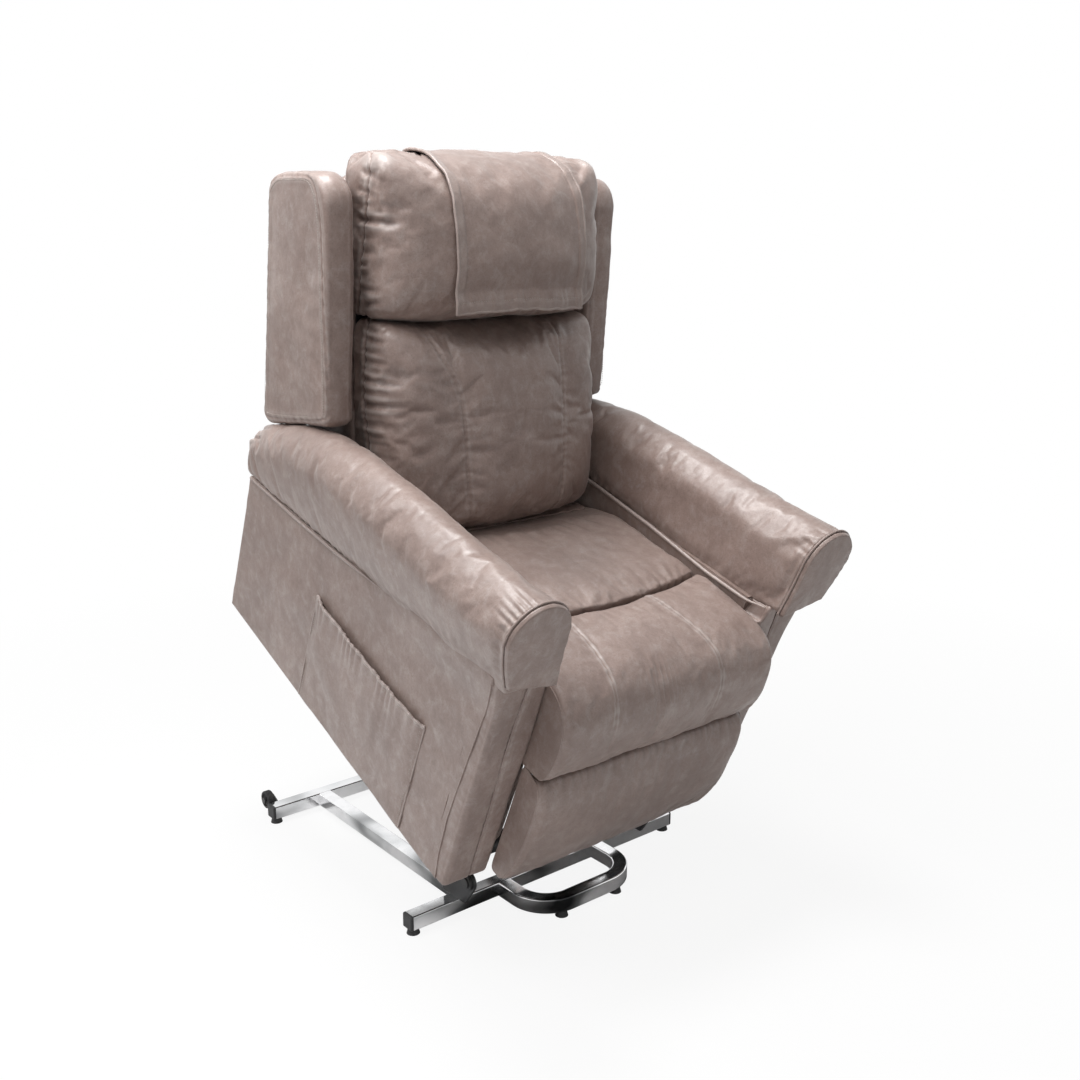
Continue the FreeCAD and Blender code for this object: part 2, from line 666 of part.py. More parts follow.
def motor(tube_end, side):
    """Linear motor along +Y: eye, gear housing with its round motor, outer tube with a bore."""
    wide, high = MOTOR_HALF
    eye = bar_x((0, 0), MOTOR_EYE, -CLEVIS_HALF, CLEVIS_HALF)
    neck = box(-CLEVIS_HALF, CLEVIS_HALF, MOTOR_EYE / 2, MOTOR_START + LUG_GAP,
               -MOTOR_NECK_HALF, MOTOR_NECK_HALF)
    housing = box(-wide, wide, MOTOR_START, MOTOR_END, -high, high)
    housing = housing.makeFillet(MOTOR_EDGE, housing.Edges)
    middle = (MOTOR_START + MOTOR_END) / 2
    can_radius, can_length = MOTOR_CAN
    cap_radius, cap_length = MOTOR_CAN_CAP
    can_start = wide - TUBE_WALL
    can = Part.makeCylinder(can_radius, can_length, V(side * can_start, middle, 0), V(side, 0, 0))
    cap_start = can_start + can_length
    cap = Part.makeCylinder(cap_radius, cap_length, V(side * cap_start, middle, 0), V(side, 0, 0))
    proud, collar_length = MOTOR_COLLAR
    tube = bar_y(MOTOR_RADIUS, MOTOR_END - TUBE_WALL, tube_end)
    collar = bar_y(MOTOR_RADIUS + proud, tube_end - collar_length, tube_end)
    whole = eye.fuse([neck, housing, can, cap, tube, collar])
    bore = bar_y(ROD_RADIUS + RUN, MOTOR_END + TUBE_WALL, tube_end + TUBE_WALL)
    hole = bar_x((0, 0), CLEVIS_PIN_RADIUS + PIN_PLAY, -CLEVIS_HALF - 1, CLEVIS_HALF + 1)
    return whole.cut([bore, hole])


def rod(start, end):
    """Rod along +Y with a flat neck, an eye and a fixed cross pin at its end."""
    bar = bar_y(ROD_RADIUS, start, end - ROD_NECK)
    neck = box(-CLEVIS_HALF, CLEVIS_HALF, end - ROD_NECK - TUBE_WALL, end, -ROD_NECK_HALF, ROD_NECK_HALF)
    eye = bar_x((end, 0), ROD_EYE, -CLEVIS_HALF, CLEVIS_HALF)
    reach = CLEVIS_HALF + LUG_GAP + LUG_THICK + PIN_END
    pin = bar_x((end, 0), CLEVIS_PIN_RADIUS, -reach, reach)
    return bar.fuse([neck, eye, pin])


class Drive:
    """One motor with its rod: places of both pins, lengths at rest and at the end of the travel."""

    def __init__(self, x, base, pivot, radius, angle, swing, side):
        self.x = x
        self.base = base
        self.pin = along(pivot, angle, radius)
        self.far_pin = along(pivot, angle - swing, radius)
        self.rest = math.dist(base, self.pin)
        self.moved = math.dist(base, self.far_pin)
        self.side = side
        self.tube_end = min(self.rest, self.moved) - ROD_SHORT
        self.rod_start = self.tube_end - ROD_OVERLAP - max(0.0, self.moved - self.rest)

    def motor(self):
        return aimed(motor(self.tube_end, self.side), self.base, self.pin, self.x)

    def rod(self):
        return aimed(rod(self.rod_start, self.rest), self.base, self.pin, self.x)


LIFT_DRIVE = Drive(0.0, LIFT_MOTOR_BASE, ARM_BASE, LIFT_CRANK_RADIUS, LIFT_CRANK_ANGLE, ARM_SWING, 1)
BACK_DRIVE = Drive(
    BACK_MOTOR_X, BACK_MOTOR_BASE, BACK_PIVOT, BACK_CRANK_RADIUS, BACK_CRANK_ANGLE, RECLINE, 1)
LEG_DRIVE = Drive(
    LEG_MOTOR_X, LEG_MOTOR_BASE, LEG_PIVOT, LEG_CRANK_RADIUS, LEG_CRANK_ANGLE, LEG_LIFT, -1)


def side_plate():
    """Steel side plate of the seat with the studs of the front link, the back and the legrest."""
    outline = belt([
        (*LINK_CHAIR, PLATE_LINK),
        (*ARM_CHAIR, PLATE_REAR),
        (*BACK_PIVOT, PLATE_REAR),
        (REAR_RAIL_Y, DECK_Z - PLATE_CORNER, PLATE_CORNER),
        (*LEG_PIVOT, LUG_RADIUS),
    ])
    outside = SIDE_PLATE_X + SIDE_PLATE_THICK
    plate = prism_x(outline, SIDE_PLATE_X, outside)
    holes = [slot(row[:2], row[2:4], row[4]) for row in (PLATE_WINDOW_FRONT, PLATE_WINDOW_REAR)]
    plate = plate.cut([prism_x(hole, SIDE_PLATE_X - 1, outside + 1) for hole in holes])
    link_stud = bar_x(LINK_CHAIR, LINK_PIN_RADIUS, PLATE_X + PLATE_THICK, SIDE_PLATE_X + 1)
    back_stud = bar_x(BACK_PIVOT, STUD_RADIUS, FRAME_BAR_X - BACK_STUD_REACH, SIDE_PLATE_X + 1)
    leg_stud = bar_x(LEG_PIVOT, LINK_PIN_RADIUS, STRAP_X - PIN_END, SIDE_PLATE_X + 1)
    return plate.fuse([link_stud, back_stud, leg_stud])


def cross_tube(point, radius):
    """Tube between the side plates."""
    tube = bar_x(point, radius, -SIDE_PLATE_X, SIDE_PLATE_X)
    return tube.cut(bar_x(point, radius - TUBE_WALL, -SIDE_PLATE_X - 1, SIDE_PLATE_X + 1))


def rear_pivot_tube():
    return cross_tube(ARM_CHAIR, CHAIR_TUBE_RADIUS)


def motor_tube(drive, offset):
    """Cross tube with the lugs of one seat motor, the tube at an offset from the lugs' pin."""
    centre = (drive.base[0] + offset, drive.base[1])
    discs = [(*centre, CHAIR_TUBE_RADIUS + EAR_EDGE), (*drive.base, LUG_RADIUS)]
    if offset > 0:
        discs.reverse()
    lugs = lug_pair(belt(discs), drive.x, pin=drive.base)
    return bar_x(centre, CHAIR_TUBE_RADIUS, -SIDE_PLATE_X, SIDE_PLATE_X).fuse(lugs)


def back_motor_tube():
    return motor_tube(BACK_DRIVE, -MOTOR_TUBE_OFFSET)


def leg_motor_tube():
    return motor_tube(LEG_DRIVE, MOTOR_TUBE_OFFSET)


def seat_rail(y):
    """Flat rectangular tube that carries one end of the webbing."""
    z0, z1 = DECK_Z - RAIL_HIGH, DECK_Z
    outer = box(-SIDE_PLATE_X, SIDE_PLATE_X, y - RAIL_DEEP / 2, y + RAIL_DEEP / 2, z0, z1)
    inner = box(-SIDE_PLATE_X, SIDE_PLATE_X, y - RAIL_DEEP / 2 + RAIL_WALL,
                y + RAIL_DEEP / 2 - RAIL_WALL, z0 + RAIL_WALL, z1 - RAIL_WALL)
    return outer.cut(inner)


def front_seat_rail():
    return seat_rail(FRONT_RAIL_Y)


def rear_seat_rail():
    return seat_rail(REAR_RAIL_Y)


def seat_webbing():
    """Webbing bands between the seat rails."""
    bands = []
    span = 2 * (KNEE_CORE_HALF - WEB_WIDTH / 2)
    for i in range(WEB_COUNT):
        x = -span / 2 + span * i / (WEB_COUNT - 1)
        bands.append(box(x - WEB_WIDTH / 2, x + WEB_WIDTH / 2, FRONT_RAIL_Y - RAIL_DEEP / 2,
                         REAR_RAIL_Y + RAIL_DEEP / 2, DECK_Z, DECK_Z + WEB_THICK - SEAT))
    return Part.makeCompound(bands)


def arm_edge(y):
    """Heights of the arm's lower edge outside and inside at a Y, between the stations."""
    for near, far in zip(ARM_STATIONS, ARM_STATIONS[1:]):
        if near[0] <= y <= far[0]:
            share = (y - near[0]) / (far[0] - near[0])
            return tuple(near[k] + share * (far[k] - near[k]) for k in (1, 2))
    return ARM_STATIONS[-1][1:3]


def arm_panel():
    """Upholstered side panel under the arm with its ledge against the side plate."""
    ys = [POST_DEEP] + [row[0] for row in ARM_STATIONS if POST_DEEP < row[0] < PANEL_REAR] + [PANEL_REAR]
    wires = []
    for y in ys:
        outside, inside = arm_edge(y)
        loop = [
            V(PANEL_IN, y, 0), V(PANEL_OUT, y, 0),
            V(PANEL_OUT, y, outside - SEAT), V(PANEL_IN, y, inside - SEAT),
        ]
        wires.append(Part.makePolygon(loop + loop[:1]))
    body = Part.makeLoft(wires, True, True)
    low, high = LEDGE_Z
    ledge = box(SIDE_PLATE_X + SIDE_PLATE_THICK, PANEL_IN + 1, POST_DEEP + LEDGE_INSET, ARM_CHAIR[0],
                low, high)
    return body.fuse(ledge)


def front_post():
    """Boxed front of the arm with rounded edges."""
    wires = []
    for y in (0.0, POST_DEEP - SEAT):
        outside, inside = arm_edge(y)
        loop = [
            V(POST_IN, y, 0), V(PANEL_OUT, y, 0),
            V(PANEL_OUT, y, outside - SEAT), V(POST_IN, y, inside - SEAT),
        ]
        wires.append(Part.makePolygon(loop + loop[:1]))
    post = Part.makeLoft(wires, True, True)
    front = [e for e in post.Edges if e.BoundBox.YMax < 0.1 and e.BoundBox.ZMax - e.BoundBox.ZMin > 300]
    return post.makeFillet(PANEL_EDGE, front)


def arm_outline(row, grow=0.0):
    """Outline of a rolled arm at one station: straight lower edge, four arcs up and over."""
    y, outside, inside, x, z, half, top = row
    half += grow
    top += grow
    low_out = V(PANEL_OUT + ARM_PROUD + grow, y, outside)
    low_in = V(PANEL_IN + ARM_INSET - grow, y, inside)
    out = V(x + half, y, z)
    inn = V(x - half, y, z)
    crown = V(x, y, top)
    rise = (top - z) * math.sqrt(0.5)
    shoulder = half * math.sqrt(0.5)
    flank_out = (low_out + out) * 0.5 + V(ARM_FLANK, 0, 0)
    flank_in = (low_in + inn) * 0.5 + V(ARM_PROUD, 0, 0)
    return Part.Wire([
        Part.LineSegment(low_in, low_out).toShape(),
        Part.Arc(low_out, flank_out, out).toShape(),
        Part.Arc(out, V(x + shoulder, y, z + rise), crown).toShape(),
        Part.Arc(crown, V(x - shoulder, y, z + rise), inn).toShape(),
        Part.Arc(inn, flank_in, low_in).toShape(),
    ])


def arm_pad():
    """Rolled arm top, lofted through its stations to the pinched rear end."""
    return Part.makeLoft([arm_outline(row) for row in ARM_STATIONS], True, True)


def arm_facing():
    """Padded facing on the front end of the rolled arm, drawn in towards its front."""
    layers = ((SEAT, FACING_SWELL), (FACING_THICK * 0.6, FACING_SWELL), (FACING_THICK, -FACING_DRAW))
    wires = []
    for depth, grow in layers:
        wire = arm_outline(ARM_STATIONS[0], grow)
        wire.translate(V(0, -depth, 0))
        wires.append(wire)
    return Part.makeLoft(wires, True, True)


def side_pocket():
    """Pocket on the left arm's outside, open at the top and standing away from the panel."""
    wall = PANEL_OUT + SEAT
    low, top = POCKET_LOW_DEPTH, POCKET_TOP_DEPTH
    front, rear = POCKET_FRONT, POCKET_REAR
    outer = [V(wall, front, POCKET_LOW), V(wall + low, front, POCKET_LOW),
             V(wall + top, front, POCKET_TOP), V(wall, front, POCKET_TOP)]
    body = Part.Face(Part.makePolygon(outer + outer[:1])).extrude(V(0, rear - front, 0))
    cloth = POCKET_CLOTH
    hollow = [V(wall - 1, front, POCKET_LOW + cloth), V(wall + low - cloth + 1, front, POCKET_LOW + cloth),
              V(wall + top - cloth, front, POCKET_TOP + 1), V(wall - 1, front, POCKET_TOP + 1)]
    room = Part.Face(Part.makePolygon(hollow + hollow[:1])).extrude(V(0, rear - front - 2 * cloth, 0))
    room.translate(V(0, cloth, 0))
    return mirrored(body.cut(room))


def crowned(stations, place):
    """Soft piece lofted through outlines with bowed sides and a crowned face.

    A station is its place along the piece, the half width at the underside and at the face,
    the underside, the face's side and the face's middle.
    """
    wires = []
    for s, half_low, half_high, low, side, middle in stations:
        bow = 3.0 if half_high > half_low else 4.0
        mid_half = (half_low + half_high) / 2 + bow
        mid_depth = (low + side) / 2
        spots = [place(half_low, low, s), place(mid_half, mid_depth, s), place(half_high, side, s),
                 place(0, middle, s), place(-half_high, side, s), place(-mid_half, mid_depth, s),
                 place(-half_low, low, s)]
        wires.append(Part.Wire([
            Part.Arc(spots[0], spots[1], spots[2]).toShape(),
            Part.Arc(spots[2], spots[3], spots[4]).toShape(),
            Part.Arc(spots[4], spots[5], spots[6]).toShape(),
            Part.LineSegment(spots[6], spots[0]).toShape(),
        ]))
    return Part.makeLoft(wires, True, False)


def in_seat(x, depth, s):
    return V(x, s, depth)


def in_back(x, depth, s):
    return V(x, depth, s)


def back_placed(shape):
    """A piece drawn in the backrest's axes, leaned back and moved into the level frame."""
    placed = shape.copy()
    placed.rotate(V(0, 0, 0), V(1, 0, 0), -BACK_LEAN)
    placed.translate(V(0, *BACK_ORIGIN))
    return placed


def seat_cushion():
    """Crowned seat cushion with a thin tongue under the back."""
    pad = crowned(SEAT_STATIONS, in_seat)
    low = SEAT_STATIONS[-1][3]
    rear = SEAT_STATIONS[-1][0]
    tongue = prism_x(polygon([
        (rear - SEAT_TONGUE_ROOT, low), (SEAT_TONGUE_REAR, low), (SEAT_TONGUE_REAR, SEAT_TONGUE_LOW),
        (rear + SEAT_TONGUE_ROOT, SEAT_TONGUE_HIGH), (rear - SEAT_TONGUE_ROOT, SEAT_TONGUE_HIGH),
    ]), -SEAT_STATIONS[0][1], SEAT_STATIONS[0][1])
    return pad.fuse(tongue)


def knee_pad():
    """Front of the seat, rolled down over the knee bend, with a core between the hinge plates."""
    front, top, nose = KNEE_FRONT, KNEE_TOP, KNEE_NOSE
    py, pz = LEG_PIVOT
    lip = V(0, front, top - nose)
    shoulder = V(0, front + nose, top)
    bend = V(0, front + nose * (1 - math.sqrt(0.5)), top - nose * (1 - math.sqrt(0.5)))
    above = Part.Face(Part.Wire([
        Part.LineSegment(V(0, KNEE_REAR, KNEE_CORE_TOP), V(0, KNEE_REAR, top)).toShape(),
        Part.Arc(V(0, KNEE_REAR, top), V(0, KNEE_REAR / 2, top + KNEE_CROWN), shoulder).toShape(),
        Part.Arc(shoulder, bend, lip).toShape(),
        Part.LineSegment(lip, V(0, front, KNEE_CORE_TOP)).toShape(),
        Part.LineSegment(V(0, front, KNEE_CORE_TOP), V(0, KNEE_REAR, KNEE_CORE_TOP)).toShape(),
    ]))
    low = DECK_Z + WEB_THICK
    rise = KNEE_CORE_TOP - pz
    across = math.sqrt(KNEE_ROLL ** 2 - rise ** 2)
    rail = FRONT_RAIL_Y - RAIL_DEEP / 2 - KNEE_RAIL_GAP
    join = KNEE_CORE_TOP + KNEE_RAIL_GAP
    below = Part.Face(Part.Wire([
        Part.Arc(V(0, py - across, KNEE_CORE_TOP), V(0, *along(LEG_PIVOT, 215.0, KNEE_ROLL)),
                 V(0, py, pz - KNEE_ROLL)).toShape(),
        Part.LineSegment(V(0, py, pz - KNEE_ROLL), V(0, rail, low)).toShape(),
        Part.LineSegment(V(0, rail, low), V(0, KNEE_REAR, low)).toShape(),
        Part.LineSegment(V(0, KNEE_REAR, low), V(0, KNEE_REAR, join)).toShape(),
        Part.LineSegment(V(0, KNEE_REAR, join), V(0, py - across, join)).toShape(),
        Part.LineSegment(V(0, py - across, join), V(0, py - across, KNEE_CORE_TOP)).toShape(),
    ]))
    pad = prism_x(above, -KNEE_HALF, KNEE_HALF).fuse(prism_x(below, -KNEE_CORE_HALF, KNEE_CORE_HALF))
    notch = CLEVIS_HALF + LUG_GAP + LUG_THICK + KNEE_NOTCH_GAP
    reach = KNEE_ROLL + KNEE_RAIL_GAP
    cutter = box(LEG_MOTOR_X - notch, LEG_MOTOR_X + notch, py - reach, py + reach,
                 pz - reach, pz - KNEE_RAIL_GAP)
    return pad.cut(cutter)


def control_box():
    """Power and control box on the side plate with its two sockets."""
    x, y, z = BOX_PLACE
    w, d, h = BOX_SIZE
    case = box(x, x + w, y, y + d, z, z + h)
    case = case.makeFillet(BOX_EDGE, [e for e in case.Edges if e.BoundBox.XMax < x + w - BOX_EDGE])
    holes = []
    for share in SOCKET_SHARES:
        place = V(x + w / 2, y + d - SOCKET_DEPTH, z + h * share)
        holes.append(Part.makeCylinder(SOCKET_RADIUS, SOCKET_DEPTH + 1, place, V(0, 1, 0)))
    return case.cut(holes)


def rear_skirt():
    """Cloth-covered panel that closes the lower rear between the side panels."""
    skirt = box(-PANEL_IN, PANEL_IN, SKIRT_REAR - SKIRT_THICK, SKIRT_REAR, SKIRT_LOW, SKIRT_TOP)
    top = [e for e in skirt.Edges if e.BoundBox.ZMin > SKIRT_TOP - RUN and e.BoundBox.XLength > PANEL_IN]
    return skirt.makeFillet(SKIRT_ROUND, top)


def legrest_frame():
    """Hinged straps, cross tubes, board and the lugs of the legrest rod."""
    tube_y = BOARD_REAR + LEG_TUBE_RADIUS
    tail = (tube_y, LEG_TUBES_Z[0] - STRAP_TAIL, LEG_TUBE_RADIUS)
    knee = (tube_y, BOARD_TOP + LEG_TUBE_RADIUS, LEG_TUBE_RADIUS)
    lower = prism_x(belt([tail, knee]), STRAP_X, STRAP_X + STRAP_THICK)
    upper = prism_x(belt([knee, (*LEG_PIVOT, LUG_RADIUS)]), STRAP_X, STRAP_X + STRAP_THICK)
    eye = bar_x(LEG_PIVOT, LINK_PIN_RADIUS + PIN_PLAY, STRAP_X - 1, STRAP_X + STRAP_THICK + 1)
    strap = lower.fuse(upper).cut(eye)
    tubes = [bar_x((tube_y, z), LEG_TUBE_RADIUS, -STRAP_X - 1, STRAP_X + 1) for z in LEG_TUBES_Z]
    start, end, radius = crank_slot(LEG_PIVOT, LEG_PATH, LEG_CRANK_ANGLE)
    rim = radius + LUG_RIM
    outline = belt([(tube_y, LEG_TUBES_Z[1], LEG_TUBE_RADIUS), (*end, rim), (*start, rim)])
    lugs = lug_pair(outline, LEG_MOTOR_X, hole=slot(start, end, radius))
    return strap.fuse([mirrored(strap)] + tubes + lugs)


def legrest_board():
    low = LOWER_PAD_LOW + BOARD_INSET
    return box(-BOARD_HALF, BOARD_HALF, BOARD_REAR - BOARD_THICK, BOARD_REAR - SEAT, low, BOARD_TOP)


def pad_profile(low, top, points):
    """Face between the board and a row of arcs through points from the low end to the top."""
    back = BOARD_REAR - BOARD_THICK - SEAT
    spots = [V(0, *p) for p in points]
    edges = [Part.LineSegment(V(0, back, low), spots[0]).toShape()]
    for i in range(0, len(spots) - 2, 2):
        edges.append(Part.Arc(spots[i], spots[i + 1], spots[i + 2]).toShape())
    edges.append(Part.LineSegment(spots[-1], V(0, back, top)).toShape())
    edges.append(Part.LineSegment(V(0, back, top), V(0, back, low)).toShape())
    return Part.Face(Part.Wire(edges))


def calf_pad():
    """Upper pad of the legrest, which carries the knee pad's cover down to the crease."""
    top = BOARD_TOP + 2
    face = pad_profile(CALF_LOW, top, [(CALF_EDGE, CALF_LOW), CALF_BELLY, (KNEE_FRONT, top)])
    return prism_x(face, -LEGREST_HALF, LEGREST_HALF)


def lower_pad():
    """Lower pad of the legrest, bowed between the crease and its lower edge."""
    low, top = LOWER_EDGES
    face = pad_profile(LOWER_PAD_LOW, LOWER_PAD_TOP,
                       [(low, LOWER_PAD_LOW), *LOWER_BOW, (top, LOWER_PAD_TOP)])
    return prism_x(face, -LEGREST_HALF, LEGREST_HALF)


def back_point(point):
    """Level-frame place of a point (U, W) of the backrest's axes."""
    y, z = turned(point, -BACK_LEAN)
    return (y + BACK_ORIGIN[0], z + BACK_ORIGIN[1])


def back_frame():
    """Back frame: pivot tube with the crank of the back rod, two uprights and two rails."""
    half = FRAME_BAR_DEEP / 2
    middle = SHELL_FRONT + half
    knee = back_point((middle, FRAME_KNEE))
    top = back_point((middle, FRAME_TOP))
    inner, outer = FRAME_BAR_X, FRAME_BAR_X + FRAME_BAR_THICK
    uprights = []
    for discs in ([(*BACK_PIVOT, FRAME_ROOT), (*knee, half)], [(*knee, half), (*top, half)]):
        upright = prism_x(belt(discs), inner, outer)
        uprights += [upright, mirrored(upright)]
    tubes = [bar_x(place, FRAME_TUBE_RADIUS, -inner - 1, inner + 1) for place in (knee, top)]
    tubes.append(bar_x(BACK_PIVOT, PIVOT_TUBE_RADIUS, -inner - 1, inner + 1))
    start, end, radius = crank_slot(BACK_PIVOT, BACK_PATH, BACK_CRANK_ANGLE)
    crank = belt([(*BACK_PIVOT, PIVOT_TUBE_RADIUS + EAR_EDGE), (*end, radius + LUG_RIM)])
    lugs = lug_pair(crank, BACK_MOTOR_X, hole=slot(start, end, radius))
    whole = uprights[0].fuse(uprights[1:] + tubes + lugs)
    bore = bar_x(BACK_PIVOT, STUD_RADIUS + PIN_PLAY, inner - BACK_STUD_REACH - EAR_EDGE, outer + 1)
    return whole.cut([bore, mirrored(bore)])


def back_webbing():
    """Elastic bands between the uprights behind the back cushions."""
    bands = []
    middle = SHELL_FRONT + FRAME_BAR_DEEP / 2
    span = FRAME_TOP - FRAME_KNEE - 3 * WEB_WIDTH
    for i in range(BACK_WEB_COUNT):
        low = FRAME_KNEE + WEB_WIDTH + span * i / (BACK_WEB_COUNT - 1)
        bands.append(box(-FRAME_BAR_X, FRAME_BAR_X, middle, middle + WEB_THICK, low, low + WEB_WIDTH))
    return back_placed(Part.makeCompound(bands))


def back_shell():
    """Upholstered rear of the back, wider above the arms, open in front for the frame."""
    face = belt([(u, w, SHELL_CORNER) for u, w in SHELL_DISCS])
    wide = prism_x(face, -SHELL_HALF, SHELL_HALF)
    narrow = prism_x(face, -SHELL_LOW_HALF, SHELL_LOW_HALF)
    reach = 400.0
    above = box(-SHELL_HALF, SHELL_HALF, 0, reach, SHELL_STEP, FRAME_TOP + reach)
    below = box(-SHELL_LOW_HALF, SHELL_LOW_HALF, 0, reach, -reach, SHELL_STEP)
    body = wide.common(above).fuse(narrow.common(below))
    room = FRAME_BAR_X + FRAME_BAR_THICK + SHELL_ROOM
    deep = SHELL_FRONT + FRAME_BAR_DEEP + SHELL_ROOM
    recess = box(-room, room, 0, deep, -reach, FRAME_TOP + FRAME_BAR_DEEP)
    return back_placed(body.cut(recess))


def lumbar_cushion():
    return back_placed(crowned(LUMBAR_STATIONS, in_back))


def head_cushion():
    return back_placed(crowned(HEAD_STATIONS, in_back))


def grown(stations, by):
    """Stations of a soft piece grown outwards on its face and its sides."""
    last = len(stations) - 1
    rows = []
    for i, (s, half_low, half_high, low, side, middle) in enumerate(stations):
        end = -by if i == 0 else by if i == last else 0.0
        rows.append((s + end, half_low + by, half_high + by, low + by, side - by, middle - by))
    return tuple(rows)


def head_cover():
    """Loose cover cloth laid over the head cushion."""
    outer = crowned(grown(HEAD_STATIONS, SEAT + COVER_THICK), in_back)
    inner = crowned(grown(HEAD_STATIONS, SEAT), in_back)
    window = box(COVER_LEFT, COVER_RIGHT, -400, COVER_REAR, COVER_LOW, HEAD_STATIONS[-1][0] + 40)
    return back_placed(outer.cut(inner).common(window))


def wing():
    """Boxed wing beside the back cushions with rounded corners."""
    block = prism_x(belt(WING_DISCS), WING_IN, WING_OUT)
    return back_placed(block.makeFillet(WING_EDGE, block.Edges))


def floor_pieces():
    """Nodes that are drawn in floor places."""
    bracket = lift_bracket()
    link = front_link()
    tyre = wheel()
    return {
        "front_bar": front_bar(),
        "rear_bar": rear_bar(),
        "side_rails": side_rails(),
        "front_loop": front_loop(),
        "end_caps": end_caps(),
        "glides": glides(),
        "lift_bracket_left": mirrored(bracket),
        "lift_bracket_right": bracket,
        "base_motor_lugs": base_motor_lugs(),
        "wheel_ears": wheel_ears(),
        "wheel_left": mirrored(tyre),
        "wheel_right": tyre,
        "lift_arms": lift_arms(),
        "front_link_left": mirrored(link),
        "front_link_right": link,
        "lift_motor": LIFT_DRIVE.motor(),
        "lift_rod": LIFT_DRIVE.rod(),
    }


def level_pieces():
    """Nodes that are drawn level and then raised with the chair."""
    plate = side_plate()
    panel = arm_panel()
    post = front_post()
    pad = arm_pad()
    facing = arm_facing()
    side_wing = wing()
    return {
        "side_plate_left": mirrored(plate),
        "side_plate_right": plate,
        "rear_pivot_tube": rear_pivot_tube(),
        "back_motor_tube": back_motor_tube(),
        "leg_motor_tube": leg_motor_tube(),
        "front_seat_rail": front_seat_rail(),
        "rear_seat_rail": rear_seat_rail(),
        "seat_webbing": seat_webbing(),
        "arm_panel_left": mirrored(panel),
        "arm_panel_right": panel,
        "front_post_left": mirrored(post),
        "front_post_right": post,
        "arm_pad_left": mirrored(pad),
        "arm_pad_right": pad,
        "arm_facing_left": mirrored(facing),
        "arm_facing_right": facing,
        "side_pocket": side_pocket(),
        "seat_cushion": seat_cushion(),
        "knee_pad": knee_pad(),
        "control_box": control_box(),
        "rear_skirt": rear_skirt(),
        "back_motor": BACK_DRIVE.motor(),
        "back_rod": BACK_DRIVE.rod(),
        "leg_motor": LEG_DRIVE.motor(),
        "leg_rod": LEG_DRIVE.rod(),
        "legrest_frame": legrest_frame(),
        "legrest_board": legrest_board(),
        "calf_pad": calf_pad(),
        "lower_pad": lower_pad(),
        "back_frame": back_frame(),
        "back_webbing": back_webbing(),
        "back_shell": back_shell(),
        "lumbar_cushion": lumbar_cushion(),
        "head_cushion": head_cushion(),
        "head_cover": head_cover(),
        "wing_left": mirrored(side_wing),
        "wing_right": side_wing,
    }


def raised(shape):
    """A level piece tipped forward and lifted with the raised chair."""
    placed = shape.copy()
    placed.rotate(V(0, 0, 0), V(1, 0, 0), TILT)
    placed.translate(V(0, RAISED_Y, RAISED_Z))
    return placed


def main():
    os.makedirs("parts", exist_ok=True)
    nodes = floor_pieces()
    nodes.update({name: raised(shape) for name, shape in level_pieces().items()})
    for name, shape in nodes.items():
        shape.translate(V(0, -CENTRE_Y, 0))
        shape.exportStep(f"parts/{name}.step")


if __name__ == "__main__":
    main()
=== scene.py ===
import json
import math

import bmesh
import bpy
import numpy as np
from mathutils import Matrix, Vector


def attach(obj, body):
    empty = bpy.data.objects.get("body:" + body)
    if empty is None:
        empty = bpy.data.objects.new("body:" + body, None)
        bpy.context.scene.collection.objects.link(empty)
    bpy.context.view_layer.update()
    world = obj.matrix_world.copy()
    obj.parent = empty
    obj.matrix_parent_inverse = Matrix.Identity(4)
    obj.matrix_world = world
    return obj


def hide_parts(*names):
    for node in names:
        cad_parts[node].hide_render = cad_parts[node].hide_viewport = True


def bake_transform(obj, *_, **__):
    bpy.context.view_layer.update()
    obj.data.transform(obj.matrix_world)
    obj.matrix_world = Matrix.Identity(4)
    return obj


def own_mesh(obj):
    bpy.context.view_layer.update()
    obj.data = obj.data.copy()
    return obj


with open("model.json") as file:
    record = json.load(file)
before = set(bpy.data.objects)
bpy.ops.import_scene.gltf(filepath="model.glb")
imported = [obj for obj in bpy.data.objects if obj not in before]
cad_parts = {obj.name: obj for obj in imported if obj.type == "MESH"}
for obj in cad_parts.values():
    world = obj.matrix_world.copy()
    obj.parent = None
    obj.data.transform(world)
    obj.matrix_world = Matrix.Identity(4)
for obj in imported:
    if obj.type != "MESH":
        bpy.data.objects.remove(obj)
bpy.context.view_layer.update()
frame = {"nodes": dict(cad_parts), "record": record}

bl_info = {
    "name": "Lift recliner chair",
    "version": (1, 0, 0),
    "blender": (4, 5, 0),
    "location": "View3D > Sidebar > Recliner",
    "description": "Upholstery, finishes and stage of a raised lift recliner chair",
    "category": "Object",
}

# The chair is drawn level, in millimetres: X across, Y from front to rear, Z up, its zero on the
# lower front edge of the side panels. The whole is then tipped forward and raised. The back has
# axes of its own: U from its face to its rear and W up the back.
TILT = math.radians(23.2)
RAISED = (-420.5, 168.1)
MIDDLE_Y = -171.7513
LEAN = math.radians(22.6)
BACK_ORIGIN = (640.0, 574.0)
DECK_LOW = 359.3

